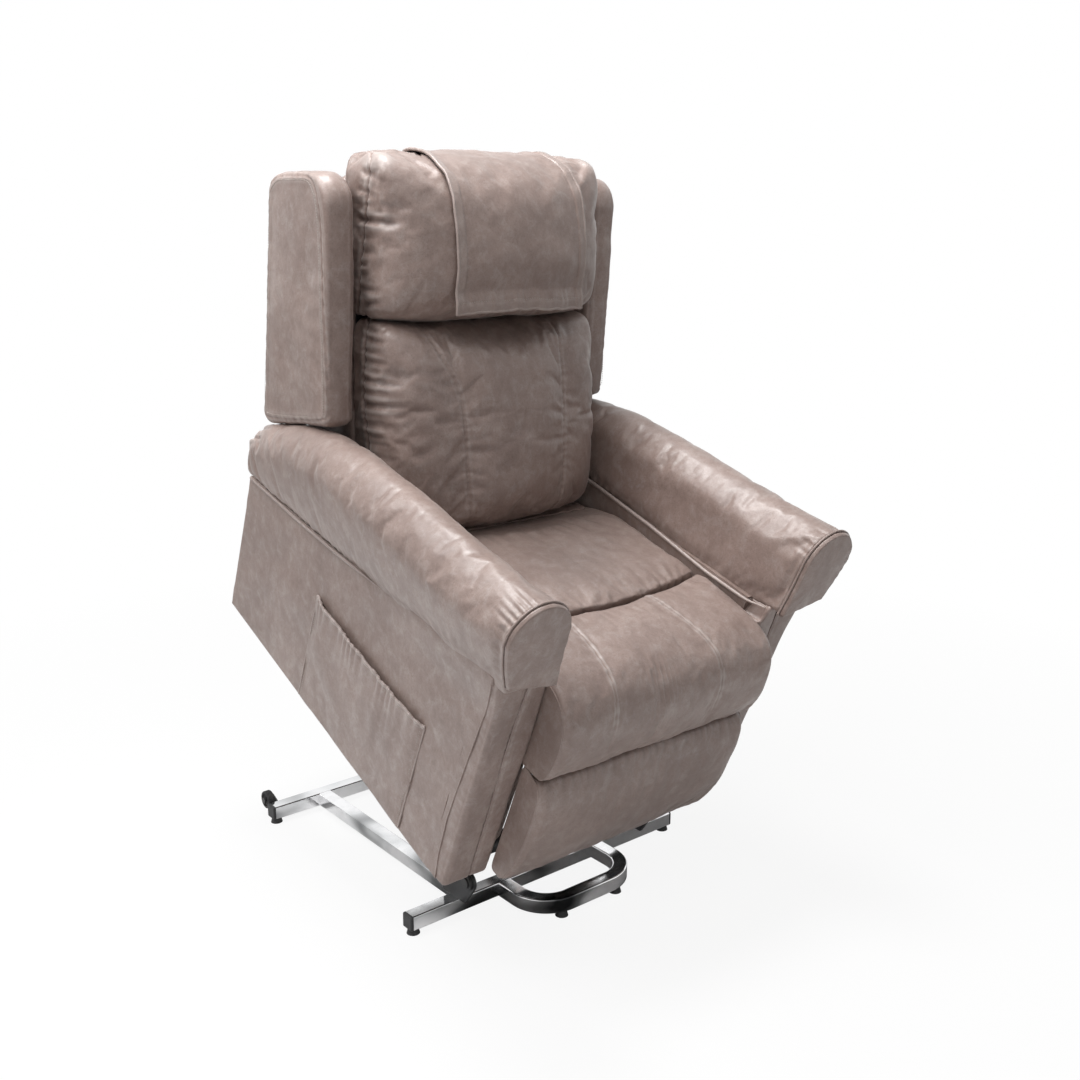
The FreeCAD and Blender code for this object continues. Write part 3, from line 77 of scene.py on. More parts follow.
# Rolled arms: Y, lower edge outside, lower edge inside, middle of the roll, half width, top,
# flare of the lower edge outside
ARM_ROWS = np.array((
    (-20.0, 496.0, 476.0, 343.5, 588.0, 60.0, 652.0, 16.0),
    (60.0, 476.0, 460.0, 342.0, 577.0, 59.0, 644.0, 14.0),
    (160.0, 450.0, 449.0, 341.0, 566.0, 58.0, 636.0, 10.0),
    (330.0, 413.0, 443.0, 339.0, 550.0, 57.0, 621.0, 4.0),
    (500.0, 381.0, 430.0, 336.0, 529.0, 55.0, 599.0, 0.0),
    (580.0, 368.0, 421.0, 334.0, 511.0, 53.0, 580.0, 0.0),
    (640.0, 358.0, 412.0, 332.0, 492.0, 50.0, 563.0, 0.0),
    (749.0, 343.0, 385.0, 328.0, 454.0, 47.0, 517.0, 0.0),
    (825.0, 332.0, 357.0, 325.0, 415.0, 45.0, 470.0, 0.0),
    (862.0, 328.0, 344.0, 322.0, 391.0, 42.0, 441.0, 0.0),
    (874.0, 330.0, 342.0, 320.0, 380.0, 34.0, 420.0, 0.0),
))

# Side panels and posts: faces from the chair's middle, rear edge, depth and height of the post
PANEL_IN = 263.0
PANEL_OUT = 357.0
PANEL_REAR = 852.0
POST_IN = 256.0
POST_DEEP = 48.0
POST_TALL = 470.0

# Wings: outline as a hull of discs (U, W, radius), sewn line (U, W), inner and outer face
WING_DISCS = ((18.0, 8.0, 15.0), (228.0, -3.0, 27.0), (150.0, 404.0, 42.0), (34.0, 386.0, 60.0))
WING_SEAM = (
    (4.0, 14.0), (1.0, 40.0), (0.0, 110.0), (-2.0, 225.0), (-2.0, 347.0), (3.0, 398.0),
    (18.0, 426.0), (46.0, 439.0), (100.0, 440.0), (150.0, 438.0), (176.0, 424.0), (187.0, 400.0),
    (206.0, 280.0), (228.0, 130.0), (246.0, 20.0), (242.0, -6.0), (224.0, -16.0), (120.0, -8.0),
    (26.0, 4.0),
)
WING_IN = 282.0
WING_OUT = 342.0

# Rear of the back: outline as a hull of discs (U, W) of one radius, half width below and above
# a step in W
SHELL_DISCS = ((74.0, -114.0), (218.0, -80.0), (230.0, 8.0), (168.0, 424.0), (74.0, 454.0))
SHELL_CORNER = 14.0
SHELL_LOW_HALF = 255.0
SHELL_HALF = 281.7
SHELL_STEP = 18.0

# Cushions, one row per station: place along the piece, half width, rear face, boxing seam,
# side of the face and middle of the face
HEAD_ROWS = (
    (187.5, 224.0, 58.0, 50.0, 34.0, 16.0),
    (190.5, 242.0, 59.0, 40.0, -24.0, -86.0),
    (203.0, 249.0, 59.0, 32.0, -56.0, -126.0),
    (235.0, 252.0, 59.0, 19.0, -68.0, -134.0),
    (300.0, 253.0, 59.0, 5.0, -74.0, -127.0),
    (370.0, 253.0, 59.0, -11.0, -76.0, -112.0),
    (430.0, 253.0, 59.0, -23.0, -74.0, -95.0),
    (462.0, 249.0, 59.0, -28.0, -62.0, -76.0),
    (478.0, 240.0, 58.0, -16.0, -36.0, -42.0),
    (483.0, 224.0, 54.0, 18.0, 12.0, 10.0),
)
LUMBAR_ROWS = (
    (-216.0, 205.0, 54.0, 34.0, 10.0, -30.0),
    (-210.0, 226.0, 58.0, 22.0, -40.0, -98.0),
    (-192.0, 238.0, 59.0, 12.0, -62.0, -132.0),
    (-150.0, 245.0, 59.0, 8.0, -68.0, -140.0),
    (-52.0, 249.0, 59.0, 8.0, -70.0, -133.0),
    (32.0, 250.0, 59.0, 18.0, -70.0, -122.0),
    (110.0, 249.0, 59.0, 14.0, -67.0, -109.0),
    (158.0, 246.0, 59.0, 10.0, -58.0, -88.0),
    (178.0, 238.0, 58.0, 14.0, -34.0, -52.0),
    (184.0, 222.0, 54.0, 32.0, 14.0, 8.0),
)
SEAT_ROWS = (
    (128.5, 240.0, 364.0, 392.0, 416.0, 422.0),
    (131.0, 251.0, 360.0, 400.0, 432.0, 441.0),
    (140.0, 253.5, DECK_LOW, 404.0, 439.0, 449.0),
    (200.0, 254.5, DECK_LOW, 404.0, 438.0, 447.0),
    (330.0, 254.5, DECK_LOW, 398.0, 426.0, 433.0),
    (410.0, 254.0, DECK_LOW, 392.0, 415.0, 420.0),
    (450.0, 252.0, DECK_LOW, 384.0, 404.0, 407.0),
    (490.0, 248.0, DECK_LOW, 372.0, 388.0, 390.0),
    (534.0, 232.0, 360.0, 361.0, 364.0, 365.0),
)

# Knee pad's cover, its section from the rear of its top over the nose to the crease and back
KNEE_FLAP = (
    (125.0, 436.0), (118.0, 446.0), (90.0, 451.0), (50.0, 453.0), (10.0, 451.0), (-22.0, 445.0),
    (-46.0, 432.0), (-62.0, 412.0), (-70.0, 386.0), (-73.0, 355.0), (-72.0, 325.0), (-67.0, 296.0),
    (-58.0, 275.0), (-46.0, 266.0), (-36.0, 268.0), (-34.0, 276.0), (-34.0, 300.0), (-34.0, 330.0),
    (-33.0, 360.0), (-26.0, 384.0), (0.0, 389.0), (46.0, 389.0), (100.0, 389.0), (124.0, 390.0),
    (125.5, 410.0),
)
KNEE_HALF = 253.8

# Core behind the knee pad: section (Y, Z) and its two parts across, with room for the legrest's rod
KNEE_CORE = (
    (-14, 312), (-44, 322), (-62, 342), (-66, 364), (-60, 384), (-20, 387), (50, 387), (122, 387),
    (123, 372), (122, 361), (60, 360), (26, 358), (10, 332),
)
KNEE_CORE_SPANS = ((-229, -98), (-42, 229))

# Side faces of knee pad and lower pad as outlines (Y, Z), and where they lie across
KNEE_SIDE = (
    (120.0, 436.0), (84.0, 446.0), (40.0, 447.0), (0.0, 444.0), (-28.0, 434.0), (-48.0, 418.0),
    (-60.0, 396.0), (-66.0, 366.0), (-67.0, 334.0), (-63.0, 302.0), (-56.0, 280.0), (-42.0, 267.5),
    (-16.0, 266.0), (3.0, 268.0), (9.0, 300.0), (13.0, 340.0), (17.0, 380.0), (44.0, 392.0),
    (118.0, 394.0),
)
LOWER_SIDE = (
    (-46.0, 254.0), (-26.0, 261.5), (-3.0, 259.0), (-3.0, 200.0), (-4.0, 130.0), (-5.0, 60.0),
    (-7.0, 14.0), (-24.0, 8.5), (-38.0, 14.0), (-50.0, 50.0), (-60.0, 110.0), (-62.0, 190.0),
    (-58.0, 232.0),
)
SIDE_IN = 250.7
SIDE_OUT = 254.4

# Lower leg pad's section (Y, Z)
LOWER_LOOP = (
    (-23.0, 258.0), (-34.0, 261.5), (-50.0, 258.0), (-61.0, 245.0), (-68.0, 222.0), (-71.0, 190.0),
    (-70.0, 150.0), (-67.0, 105.0), (-61.0, 66.0), (-51.0, 32.0), (-40.0, 9.0), (-31.0, 3.0),
    (-24.0, 5.0), (-22.6, 28.0), (-22.6, 100.0), (-22.6, 180.0), (-22.6, 240.0),
)

# Camera: place in metres and the direction from its aim back to it
CAMERA_PLACE = (-1.4805, -1.9090, 1.3237)
CAMERA_AXIS = (0.6103, 0.7510, -0.2521)

# Lamps: name, place and width in metres, setting that holds the power
LAMPS = (
    ("top_lamp", (-0.25, 0.35, 3.7), 1.2, "top_power"),
    ("side_lamp", (-1.8, 0.4, 3.2), 1.8, "side_power"),
    ("front_lamp", (-1.1, -2.0, 3.9), 2.4, "front_power"),
)
LAMP_AIM = (0, 0, 0.8)

# Swelling of padded pieces: mesh width in metres, length of the simulation in frames, and
# pressure, cap in millimetres and slack of the back's cushions, the seat, the leg pads, the arms
VOXEL = 0.006
CLOTH_FRAMES = 20
BACK_WORK = (4.0, 22, 0.03)
SEAT_WORK = (2.4, 9, 0.015)
LEG_WORK = (2.6, 8, 0.012)
ARM_WORK = (3.0, 10, 0.02)

SIDES = ((-1, "left"), (1, "right"))

# Cords of the cover have eight sides. A sewing thread's stitches, in millimetres: their pitch,
# length, half thickness and height of their middle over the cover
CORD_SIDES = 8
STITCH_PITCH = 5.0
STITCH_LONG = 3.4
STITCH_HALF = 0.55
STITCH_LIFT = 0.35

# Upholstery materials, made once and shared
LOOKS = {}


def seat_place(points):
    """Level-frame millimetres turned forward by the tilt, raised and given in metres."""
    x, y, z = np.moveaxis(np.asarray(points, float), -1, 0)
    c, s = math.cos(TILT), math.sin(TILT)
    raised_y = y * c - z * s + RAISED[0] - MIDDLE_Y
    return np.stack((x, raised_y, y * s + z * c + RAISED[1]), -1) / 1000


def seat_spot(x, y, z):
    return tuple(seat_place((x, y, z)))


def seat_read(points):
    """The reverse of seat_place."""
    x, y, z = np.moveaxis(np.asarray(points, float) * 1000, -1, 0)
    c, s = math.cos(TILT), math.sin(TILT)
    y = y - RAISED[0] + MIDDLE_Y
    z = z - RAISED[1]
    return np.stack((x, y * c + z * s, z * c - y * s), -1)


def back_place(points):
    """Millimetres in the back's axes (X, U, W), leaned back and then placed as the seat is."""
    x, u, w = np.moveaxis(np.asarray(points, float), -1, 0)
    c, s = math.cos(LEAN), math.sin(LEAN)
    y, z = u * c + w * s + BACK_ORIGIN[0], w * c - u * s + BACK_ORIGIN[1]
    return seat_place(np.stack((x, y, z), -1))


def back_read(points):
    """The reverse of back_place."""
    x, y, z = np.moveaxis(seat_read(points), -1, 0)
    c, s = math.cos(LEAN), math.sin(LEAN)
    y = y - BACK_ORIGIN[0]
    z = z - BACK_ORIGIN[1]
    return np.stack((x, y * c - z * s, y * s + z * c), -1)


def smooth_step(low, high, value):
    """Rises from 0 at low to 1 at high along a cubic, or falls where high is the smaller."""
    t = np.clip((value - low) / (high - low), 0, 1)
    return t * t * (3 - 2 * t)


def spline(count, samples, closed, tight):
    """Matrix that turns control points into samples of a uniform cubic B-spline.

    Each sample is a blend of four neighbouring points. The points are first pushed out, by the
    share tight, so that at 1 the curve passes through them.
    """
    at = np.arange(samples) * count / samples if closed else np.linspace(0, count - 1, samples)

    def blend(t):
        k = np.floor(t).astype(int)
        if not closed:
            k = np.minimum(k, count - 2)
        f = (t - k)[:, None]
        share = np.hstack(((1 - f) ** 3, 3 * f ** 3 - 6 * f ** 2 + 4,
                           -3 * f ** 3 + 3 * f ** 2 + 3 * f + 1, f ** 3)) / 6
        where = k[:, None] + np.arange(-1, 3)
        rows = np.arange(len(t))[:, None].repeat(4, 1)
        if closed:
            out = np.zeros((len(t), count))
            np.add.at(out, (rows, where % count), share)
            return out
        wide = np.zeros((len(t), count + 2))
        np.add.at(wide, (rows, where + 1), share)
        out = wide[:, 1:-1].copy()
        out[:, 0] += 2 * wide[:, 0]
        out[:, 1] -= wide[:, 0]
        out[:, -1] += 2 * wide[:, -1]
        out[:, -2] -= wide[:, -1]
        return out

    push = np.linalg.inv(blend(np.arange(count, dtype=float)))
    return blend(at) @ (tight * push + (1 - tight) * np.eye(count))


def travelled(line):
    """Way along a line to each of its points: the running sum of its steps."""
    return np.concatenate(([0], np.cumsum(np.linalg.norm(np.diff(line, axis=0), axis=1))))


def spaced(line, count, closed=True):
    """A line's points spaced evenly along its length, or round it if it is closed."""
    if closed:
        line = np.vstack((line, line[:1]))
    run = travelled(line)
    at = np.linspace(0, run[-1], count + closed)[:count]
    return np.stack([np.interp(at, run, line[:, k]) for k in range(line.shape[1])], 1)


def curve(points, samples, closed=False):
    """Smooth line through control points, its samples spaced evenly along its length."""
    points = np.asarray(points, float)
    return spaced(spline(len(points), samples * 8, closed, 1.0) @ points, samples, closed)


def woven(net, rows, cols, tight):
    """Surface of a control net: B-splines along its rows and, closed, along its columns."""
    along = spline(net.shape[0], rows, False, tight)
    around = spline(net.shape[1], cols, True, tight)
    return np.einsum("ri,ijk,cj->rck", along, net, around)


def hull_loop(discs, count):
    """Outline of the convex hull of discs (a, b, radius), evenly spaced.

    For each direction the disc that reaches furthest gives its own rim point.
    """
    discs = np.asarray(discs, float)
    turn = np.linspace(0, 2 * math.pi, 1440, endpoint=False)
    face = np.stack((np.cos(turn), np.sin(turn)), 1)
    reach = face @ discs[:, :2].T + discs[:, 2]
    best = discs[np.argmax(reach, 1)]
    return spaced(best[:, :2] + face * best[:, 2:], count)


def loop_normals(loop):
    """Outward unit normals of a closed outline, from the chord between its neighbours."""
    chord = np.roll(loop, -1, 0) - np.roll(loop, 1, 0)
    normal = np.stack((chord[:, 1], -chord[:, 0]), 1)
    normal /= np.linalg.norm(normal, axis=1, keepdims=True) + 1e-9
    a, b = loop[:, 0], loop[:, 1]
    area = (a * np.roll(b, -1) - np.roll(a, -1) * b).sum()
    return normal if area > 0 else -normal


def slab(loops, sides, edge, bulge, strip, steps):
    """Closed form between two outlines that face each other.

    loops are the outlines at the two ends of sides. Rows run from the middle of one face out to
    its rim, round a quarter circle of radius edge, across the strip and back to the middle of
    the other face. The faces bulge by (1 - share squared) and the strip by a parabola. steps
    counts the rows of a face, of a quarter circle and of the strip.
    """
    first, last = (np.asarray(loop, float) for loop in loops)
    x0, x1 = sides
    way = 1.0 if x1 > x0 else -1.0
    bulge0, bulge1 = bulge if isinstance(bulge, tuple) else (bulge, bulge)
    share = np.sin(np.linspace(0, math.pi / 2, steps[0] + 1))[1:]
    turn = np.linspace(0, math.pi / 2, steps[1] + 1)[1:]
    cross = np.linspace(0, 1, steps[2] + 1)[1:-1]
    rows = [(x0 - way * bulge0 * (1 - s * s), s, edge) for s in share]
    rows += [(x0 + way * edge * (1 - math.cos(t)), 1.0, edge * (1 - math.sin(t))) for t in turn]
    rows += [(x0 + way * (edge + (abs(x1 - x0) - 2 * edge) * c), 1.0, -strip * 4 * c * (1 - c))
             for c in cross]
    rows += [(x1 - way * edge * (1 - math.cos(t)), 1.0, edge * (1 - math.sin(t)))
             for t in turn[::-1]]
    rows += [(x1 + way * bulge1 * (1 - s * s), s, edge) for s in share[::-1]]
    x, share, inset = np.array(rows).T
    mix = np.clip((x - x0) / (x1 - x0), 0, 1)[:, None, None]
    loop = first * (1 - mix) + last * mix
    normal = loop_normals(first) * (1 - mix) + loop_normals(last) * mix
    loop = loop - normal * inset[:, None, None]
    centre = loop.mean(1, keepdims=True)
    loop = centre + (loop - centre) * share[:, None, None]
    width = np.broadcast_to(x[:, None, None], loop.shape[:2] + (1,))
    return np.concatenate((width, loop), 2)


def cushion_net(rows):
    """Control net of a boxed cushion, one ring per row.

    A ring runs from the middle of the rear face out to the side, forward over the boxing seam,
    round the side of the face to its crowned middle, and back by the other side.
    """
    s, half, rear, seam, side, middle = np.array(rows, float).T
    crown = middle - side
    ring = [
        (0.0, rear), (0.6, rear), (0.965, rear), (0.998, rear + 0.22 * (seam - rear)),
        (0.998, seam), (1.004, seam + 0.62 * (side - seam)), (0.972, side - 0.02 * crown),
        (0.87, side + 0.36 * crown), (0.62, side + 0.74 * crown), (0.31, side + 0.95 * crown),
        (0.0, middle),
    ]
    ring += [(-a, b) for a, b in ring[-2:0:-1]]
    spots = [np.stack((half * a, b, s), 1) for a, b in ring]
    return np.stack(spots, 1)


def skin(name, grid, closed=True, poles=True, smooth=True):
    """Mesh object from a grid of points, its columns joined round and its end rows closed.

    Faces are turned outwards by the sign of the volume that they enclose.
    """
    rows, cols, _ = grid.shape
    points = grid.reshape(-1, 3)
    index = np.arange(rows * cols).reshape(rows, cols)
    right = np.roll(index, -1, 1) if closed else index[:, 1:]
    left = index if closed else index[:, :-1]
    quads = np.stack((left[:-1], right[:-1], right[1:], left[1:]), -1).reshape(-1, 4)
    faces = quads.tolist()
    if closed and poles:
        points = np.vstack((points, grid[0].mean(0), grid[-1].mean(0)))
        first, last = len(points) - 2, len(points) - 1
        start = np.stack((right[0], left[0], np.full(cols, first)), 1)
        end = np.stack((left[-1], right[-1], np.full(cols, last)), 1)
        faces += start.tolist() + end.tolist()
    mesh = bpy.data.meshes.new(name)
    mesh.from_pydata(points.tolist(), [], faces)
    mesh.update()
    obj = bpy.data.objects.new(name, mesh)
    bpy.context.scene.collection.objects.link(obj)
    if closed and poles and enclosed(mesh) < 0:
        mesh.flip_normals()
    mesh.polygons.foreach_set("use_smooth", [smooth] * len(mesh.polygons))
    return obj


def enclosed(mesh):
    """Volume inside a closed mesh: a sixth of the sum of corner products over its triangles."""
    mesh.calc_loop_triangles()
    corners = np.empty(len(mesh.loop_triangles) * 3, int)
    mesh.loop_triangles.foreach_get("vertices", corners)
    tri = read(mesh)[corners.reshape(-1, 3)]
    return float((tri[:, 0] * np.cross(tri[:, 1], tri[:, 2])).sum()) / 6


def read(mesh):
    """Vertex places of a mesh as an array."""
    out = np.empty(len(mesh.vertices) * 3)
    mesh.vertices.foreach_get("co", out)
    return out.reshape(-1, 3)


def normals(mesh):
    """Vertex normals of a mesh as an array."""
    out = np.empty(len(mesh.vertices) * 3, np.float32)
    mesh.vertex_normals.foreach_get("vector", out)
    return out.reshape(-1, 3).astype(float)


def write(mesh, points):
    """Moves the vertices of a mesh to the given places."""
    mesh.vertices.foreach_set("co", np.asarray(points, np.float32).ravel())
    mesh.update()


def settle(obj):
    """Applies an object's modifiers to its mesh."""
    deps = bpy.context.evaluated_depsgraph_get()
    fresh = bpy.data.meshes.new_from_object(obj.evaluated_get(deps))
    old = obj.data
    obj.modifiers.clear()
    obj.data = fresh
    bpy.data.meshes.remove(old)
    fresh.polygons.foreach_set("use_smooth", [True] * len(fresh.polygons))
    return obj


def thicken(obj, thickness, offset=0.0):
    """Gives a surface a wall of a thickness in metres and applies it."""
    wall = obj.modifiers.new("thick", "SOLIDIFY")
    wall.thickness = thickness
    wall.offset = offset
    return settle(obj)


def swell(obj, read_place, held, pressure, cap, slack):
    """Remeshes a form, blows it up as cloth under pressure, caps each point's way, subdivides.

    held gives, from the places of the points, which ones a seam holds where they are. The way
    is bent over to the cap by a hyperbolic tangent.
    """
    remesh = obj.modifiers.new("remesh", "REMESH")
    remesh.mode = "VOXEL"
    remesh.voxel_size = VOXEL
    settle(obj)
    start = read(obj.data)
    fixed = held(read_place(start))
    group = obj.vertex_groups.new(name="held")
    group.add(np.nonzero(fixed)[0].tolist(), 1.0, "REPLACE")
    scene = bpy.context.scene
    scene.frame_set(1)
    cloth = obj.modifiers.new("cloth", "CLOTH")
    work = cloth.settings
    work.quality = 5
    work.mass = 0.3
    work.tension_stiffness = 15
    work.compression_stiffness = 15
    work.shear_stiffness = 5
    work.bending_stiffness = 0.5
    work.use_pressure = True
    work.uniform_pressure_force = pressure
    work.shrink_min = -slack
    work.vertex_group_mass = "held"
    work.effector_weights.gravity = 0
    for step in range(1, CLOTH_FRAMES + 1):
        scene.frame_set(step)
    deps = bpy.context.evaluated_depsgraph_get()
    swollen = read(obj.evaluated_get(deps).to_mesh())
    move = swollen - start
    way = np.linalg.norm(move, axis=1, keepdims=True) + 1e-9
    limit = cap / 1000
    move *= limit * np.tanh(way / limit) / way
    obj.modifiers.clear()
    obj.vertex_groups.clear()
    scene.frame_set(1)
    write(obj.data, start + move)
    finer = obj.modifiers.new("finer", "SUBSURF")
    finer.levels = finer.render_levels = 1
    return settle(obj)


def ripple(points, size, seed):
    """Soft random relief: the mean of 24 plane waves of about one size in random directions."""
    random = np.random.default_rng(seed)
    way = random.normal(size=(24, 3))
    way /= np.linalg.norm(way, axis=1, keepdims=True)
    way *= 2 * math.pi / (size * random.uniform(0.6, 1.6, (24, 1)))
    start = random.uniform(0, 2 * math.pi, 24)
    return np.sin(points @ way.T + start).sum(1) / math.sqrt(24)


def folds(a, b, marks):
    """Relief of folds, each from (a0, b0) to (a1, b1) with a depth and a width.

    A valley with a bell section and a low crest on each side starts at full depth and fades to
    nothing at the far end.
    """
    total = np.zeros(len(a))
    for a0, b0, a1, b1, depth, width in marks:
        da, db = a1 - a0, b1 - b0
        length = math.hypot(da, db)
        t = ((a - a0) * da + (b - b0) * db) / length ** 2
        off = np.abs(((a - a0) * db - (b - b0) * da) / length)
        fade = smooth_step(-0.12, 0.06, t) * (1 - smooth_step(0.25, 1.05, t))
        bell = np.exp(-(off / width) ** 2) - 0.42 * np.exp(-((off - 1.9 * width) / width) ** 2)
        total -= depth * fade * bell
    return total


def groove(distance, depth, width, shoulder=0.35):
    """Relief of a sewn line: a narrow valley with a soft swelling on both sides."""
    near = np.exp(-(distance / width) ** 2)
    beside = np.exp(-((np.abs(distance) - 2.6 * width) / (1.6 * width)) ** 2)
    return depth * (shoulder * beside - near)


def track(a, b, points):
    """Signed distance to a line given by its points (a, b), measured across b's direction."""
    line = np.asarray(points, float)
    order = np.argsort(line[:, 1])
    fine = curve(line[order], 60)
    return a - np.interp(b, fine[:, 1], fine[:, 0])


def uneven(points, big, small, seed):
    """Soft unevenness of a filled piece: a wide ripple with a finer one on it."""
    return big * ripple(points, 135, seed) + small * ripple(points, 46, seed + 1)


def marked(obj, relief):
    """Keeps a relief in millimetres as an attribute, from which the cover gets painted shade where
    sunk and pale crests where raised.
    """
    mark = obj.data.attributes.new("relief", "FLOAT", "POINT")
    mark.data.foreach_set("value", np.asarray(relief, np.float32).ravel())
    return obj


def carve(obj, relief, soft=0.0):
    """Moves each point along its normal by a sewn relief and a soft one, and marks the first for
    the painted shade and pale crests.
    """
    mesh = obj.data
    write(mesh, read(mesh) + normals(mesh) * (relief + soft)[:, None] / 1000)
    return marked(obj, relief)


def cording(name, path, radius, closed=False, rubbed=0.9):
    """Round cord along a line of points in metres, marked pale: rubbed nap, and in part a painted
    highlight.

    At each point a ring stands square to the line: its first direction is the part of a fixed
    vector that is square to the tangent, its second their cross product.
    """
    path = np.asarray(path, float)
    if closed:
        tangent = np.roll(path, -1, 0) - np.roll(path, 1, 0)
    else:
        tangent = np.gradient(path, axis=0)
    tangent /= np.linalg.norm(tangent, axis=1, keepdims=True) + 1e-12
    spread = np.abs(tangent).mean(0)
    lead = np.eye(3)[int(np.argmin(spread))]
    first = lead - (tangent @ lead)[:, None] * tangent
    first /= np.linalg.norm(first, axis=1, keepdims=True)
    second = np.cross(tangent, first)
    turn = np.linspace(0, 2 * math.pi, CORD_SIDES, endpoint=False)[None, :, None]
    size = np.broadcast_to(np.asarray(radius, float) / 1000, (len(path),))
    ring = first[:, None] * np.cos(turn) + second[:, None] * np.sin(turn)
    grid = path[:, None] + ring * size[:, None, None]
    if closed:
        grid = np.concatenate((grid, grid[:1]))
        obj = skin(name, grid, poles=False)
        merged(obj)
    else:
        obj = skin(name, grid)
    return marked(obj, np.full(len(obj.data.vertices), rubbed))


def welt(name, line, radius, **settings):
    """A cord of the cover along a line of points in the level frame, on the chair."""
    return dress(cording(name, seat_place(line), radius, **settings), cover(), "chair")


def merged(obj):
    """Joins doubled points and turns the faces outwards."""
    work = bmesh.new()
    work.from_mesh(obj.data)
    bmesh.ops.remove_doubles(work, verts=work.verts, dist=1e-6)
    bmesh.ops.recalc_face_normals(work, faces=work.faces)
    work.to_mesh(obj.data)
    work.free()
    obj.data.update()


def stitches(name, path, out):
    """A row of sewing threads: one low barrel with pointed ends per stitch along a line.

    path gives points in metres and out the directions in which the threads lie proud.
    """
    path = np.asarray(path, float)
    out = np.broadcast_to(np.asarray(out, float), path.shape)
    run = travelled(path) * 1000
    count = max(int(run[-1] / STITCH_PITCH), 1)
    at = (np.arange(count) + 0.5) * run[-1] / count

    def sample(values, where):
        return np.stack([np.interp(where, run, values[:, k]) for k in range(3)], 1)

    middle = sample(path, at)
    ahead = sample(path, np.minimum(at + 0.5, run[-1])) - sample(path, np.maximum(at - 0.5, 0))
    ahead /= np.linalg.norm(ahead, axis=1, keepdims=True) + 1e-12
    up = sample(out, at)
    up -= (up * ahead).sum(1, keepdims=True) * ahead
    up /= np.linalg.norm(up, axis=1, keepdims=True) + 1e-12
    side = np.cross(ahead, up)
    turn = np.linspace(0, 2 * math.pi, 5, endpoint=False)
    barrel = [(-0.5, 0.0, 0.0)]
    for share, size in ((-0.3, 1.0), (0.3, 1.0)):
        barrel += [(share, size * math.cos(t), size * math.sin(t)) for t in turn]
    barrel.append((0.5, 0.0, 0.0))
    barrel = np.array(barrel)
    faces = [(0, 1 + (k + 1) % 5, 1 + k) for k in range(5)]
    faces += [(1 + k, 1 + (k + 1) % 5, 6 + (k + 1) % 5, 6 + k) for k in range(5)]
    faces += [(11, 6 + k, 6 + (k + 1) % 5) for k in range(5)]
    spots = (middle[:, None] + ahead[:, None] * barrel[None, :, :1] * STITCH_LONG / 1000
             + side[:, None] * barrel[None, :, 1:2] * STITCH_HALF / 1000
             + up[:, None] * (barrel[None, :, 2:] * STITCH_HALF + STITCH_LIFT) / 1000)
    whole = []
    for step in range(count):
        whole += [tuple(step * 12 + v for v in face) for face in faces]
    mesh = bpy.data.meshes.new(name)
    mesh.from_pydata(spots.reshape(-1, 3).tolist(), [], whole)
    mesh.update()
    if enclosed(mesh) < 0:
        mesh.flip_normals()
    obj = bpy.data.objects.new(name, mesh)
    bpy.context.scene.collection.objects.link(obj)
    return obj


class Tone:
    """A shader value that takes part in Python arithmetic through Math nodes."""

    def __init__(self, look, socket):
        self.look = look
        self.socket = socket

    def joined(self, operation, first, second):
        """The result of one Math node."""
        node = self.look.node("ShaderNodeMath", {"operation": operation}, {0: first, 1: second})
        return Tone(self.look, node.outputs[0])

    def __add__(self, other):
        return self.joined("ADD", self, other)

    __radd__ = __add__

    def __sub__(self, other):
        return self.joined("SUBTRACT", self, other)

    def __rsub__(self, other):
        return self.joined("SUBTRACT", other, self)

    def __mul__(self, other):
        return self.joined("MULTIPLY", self, other)

    __rmul__ = __mul__


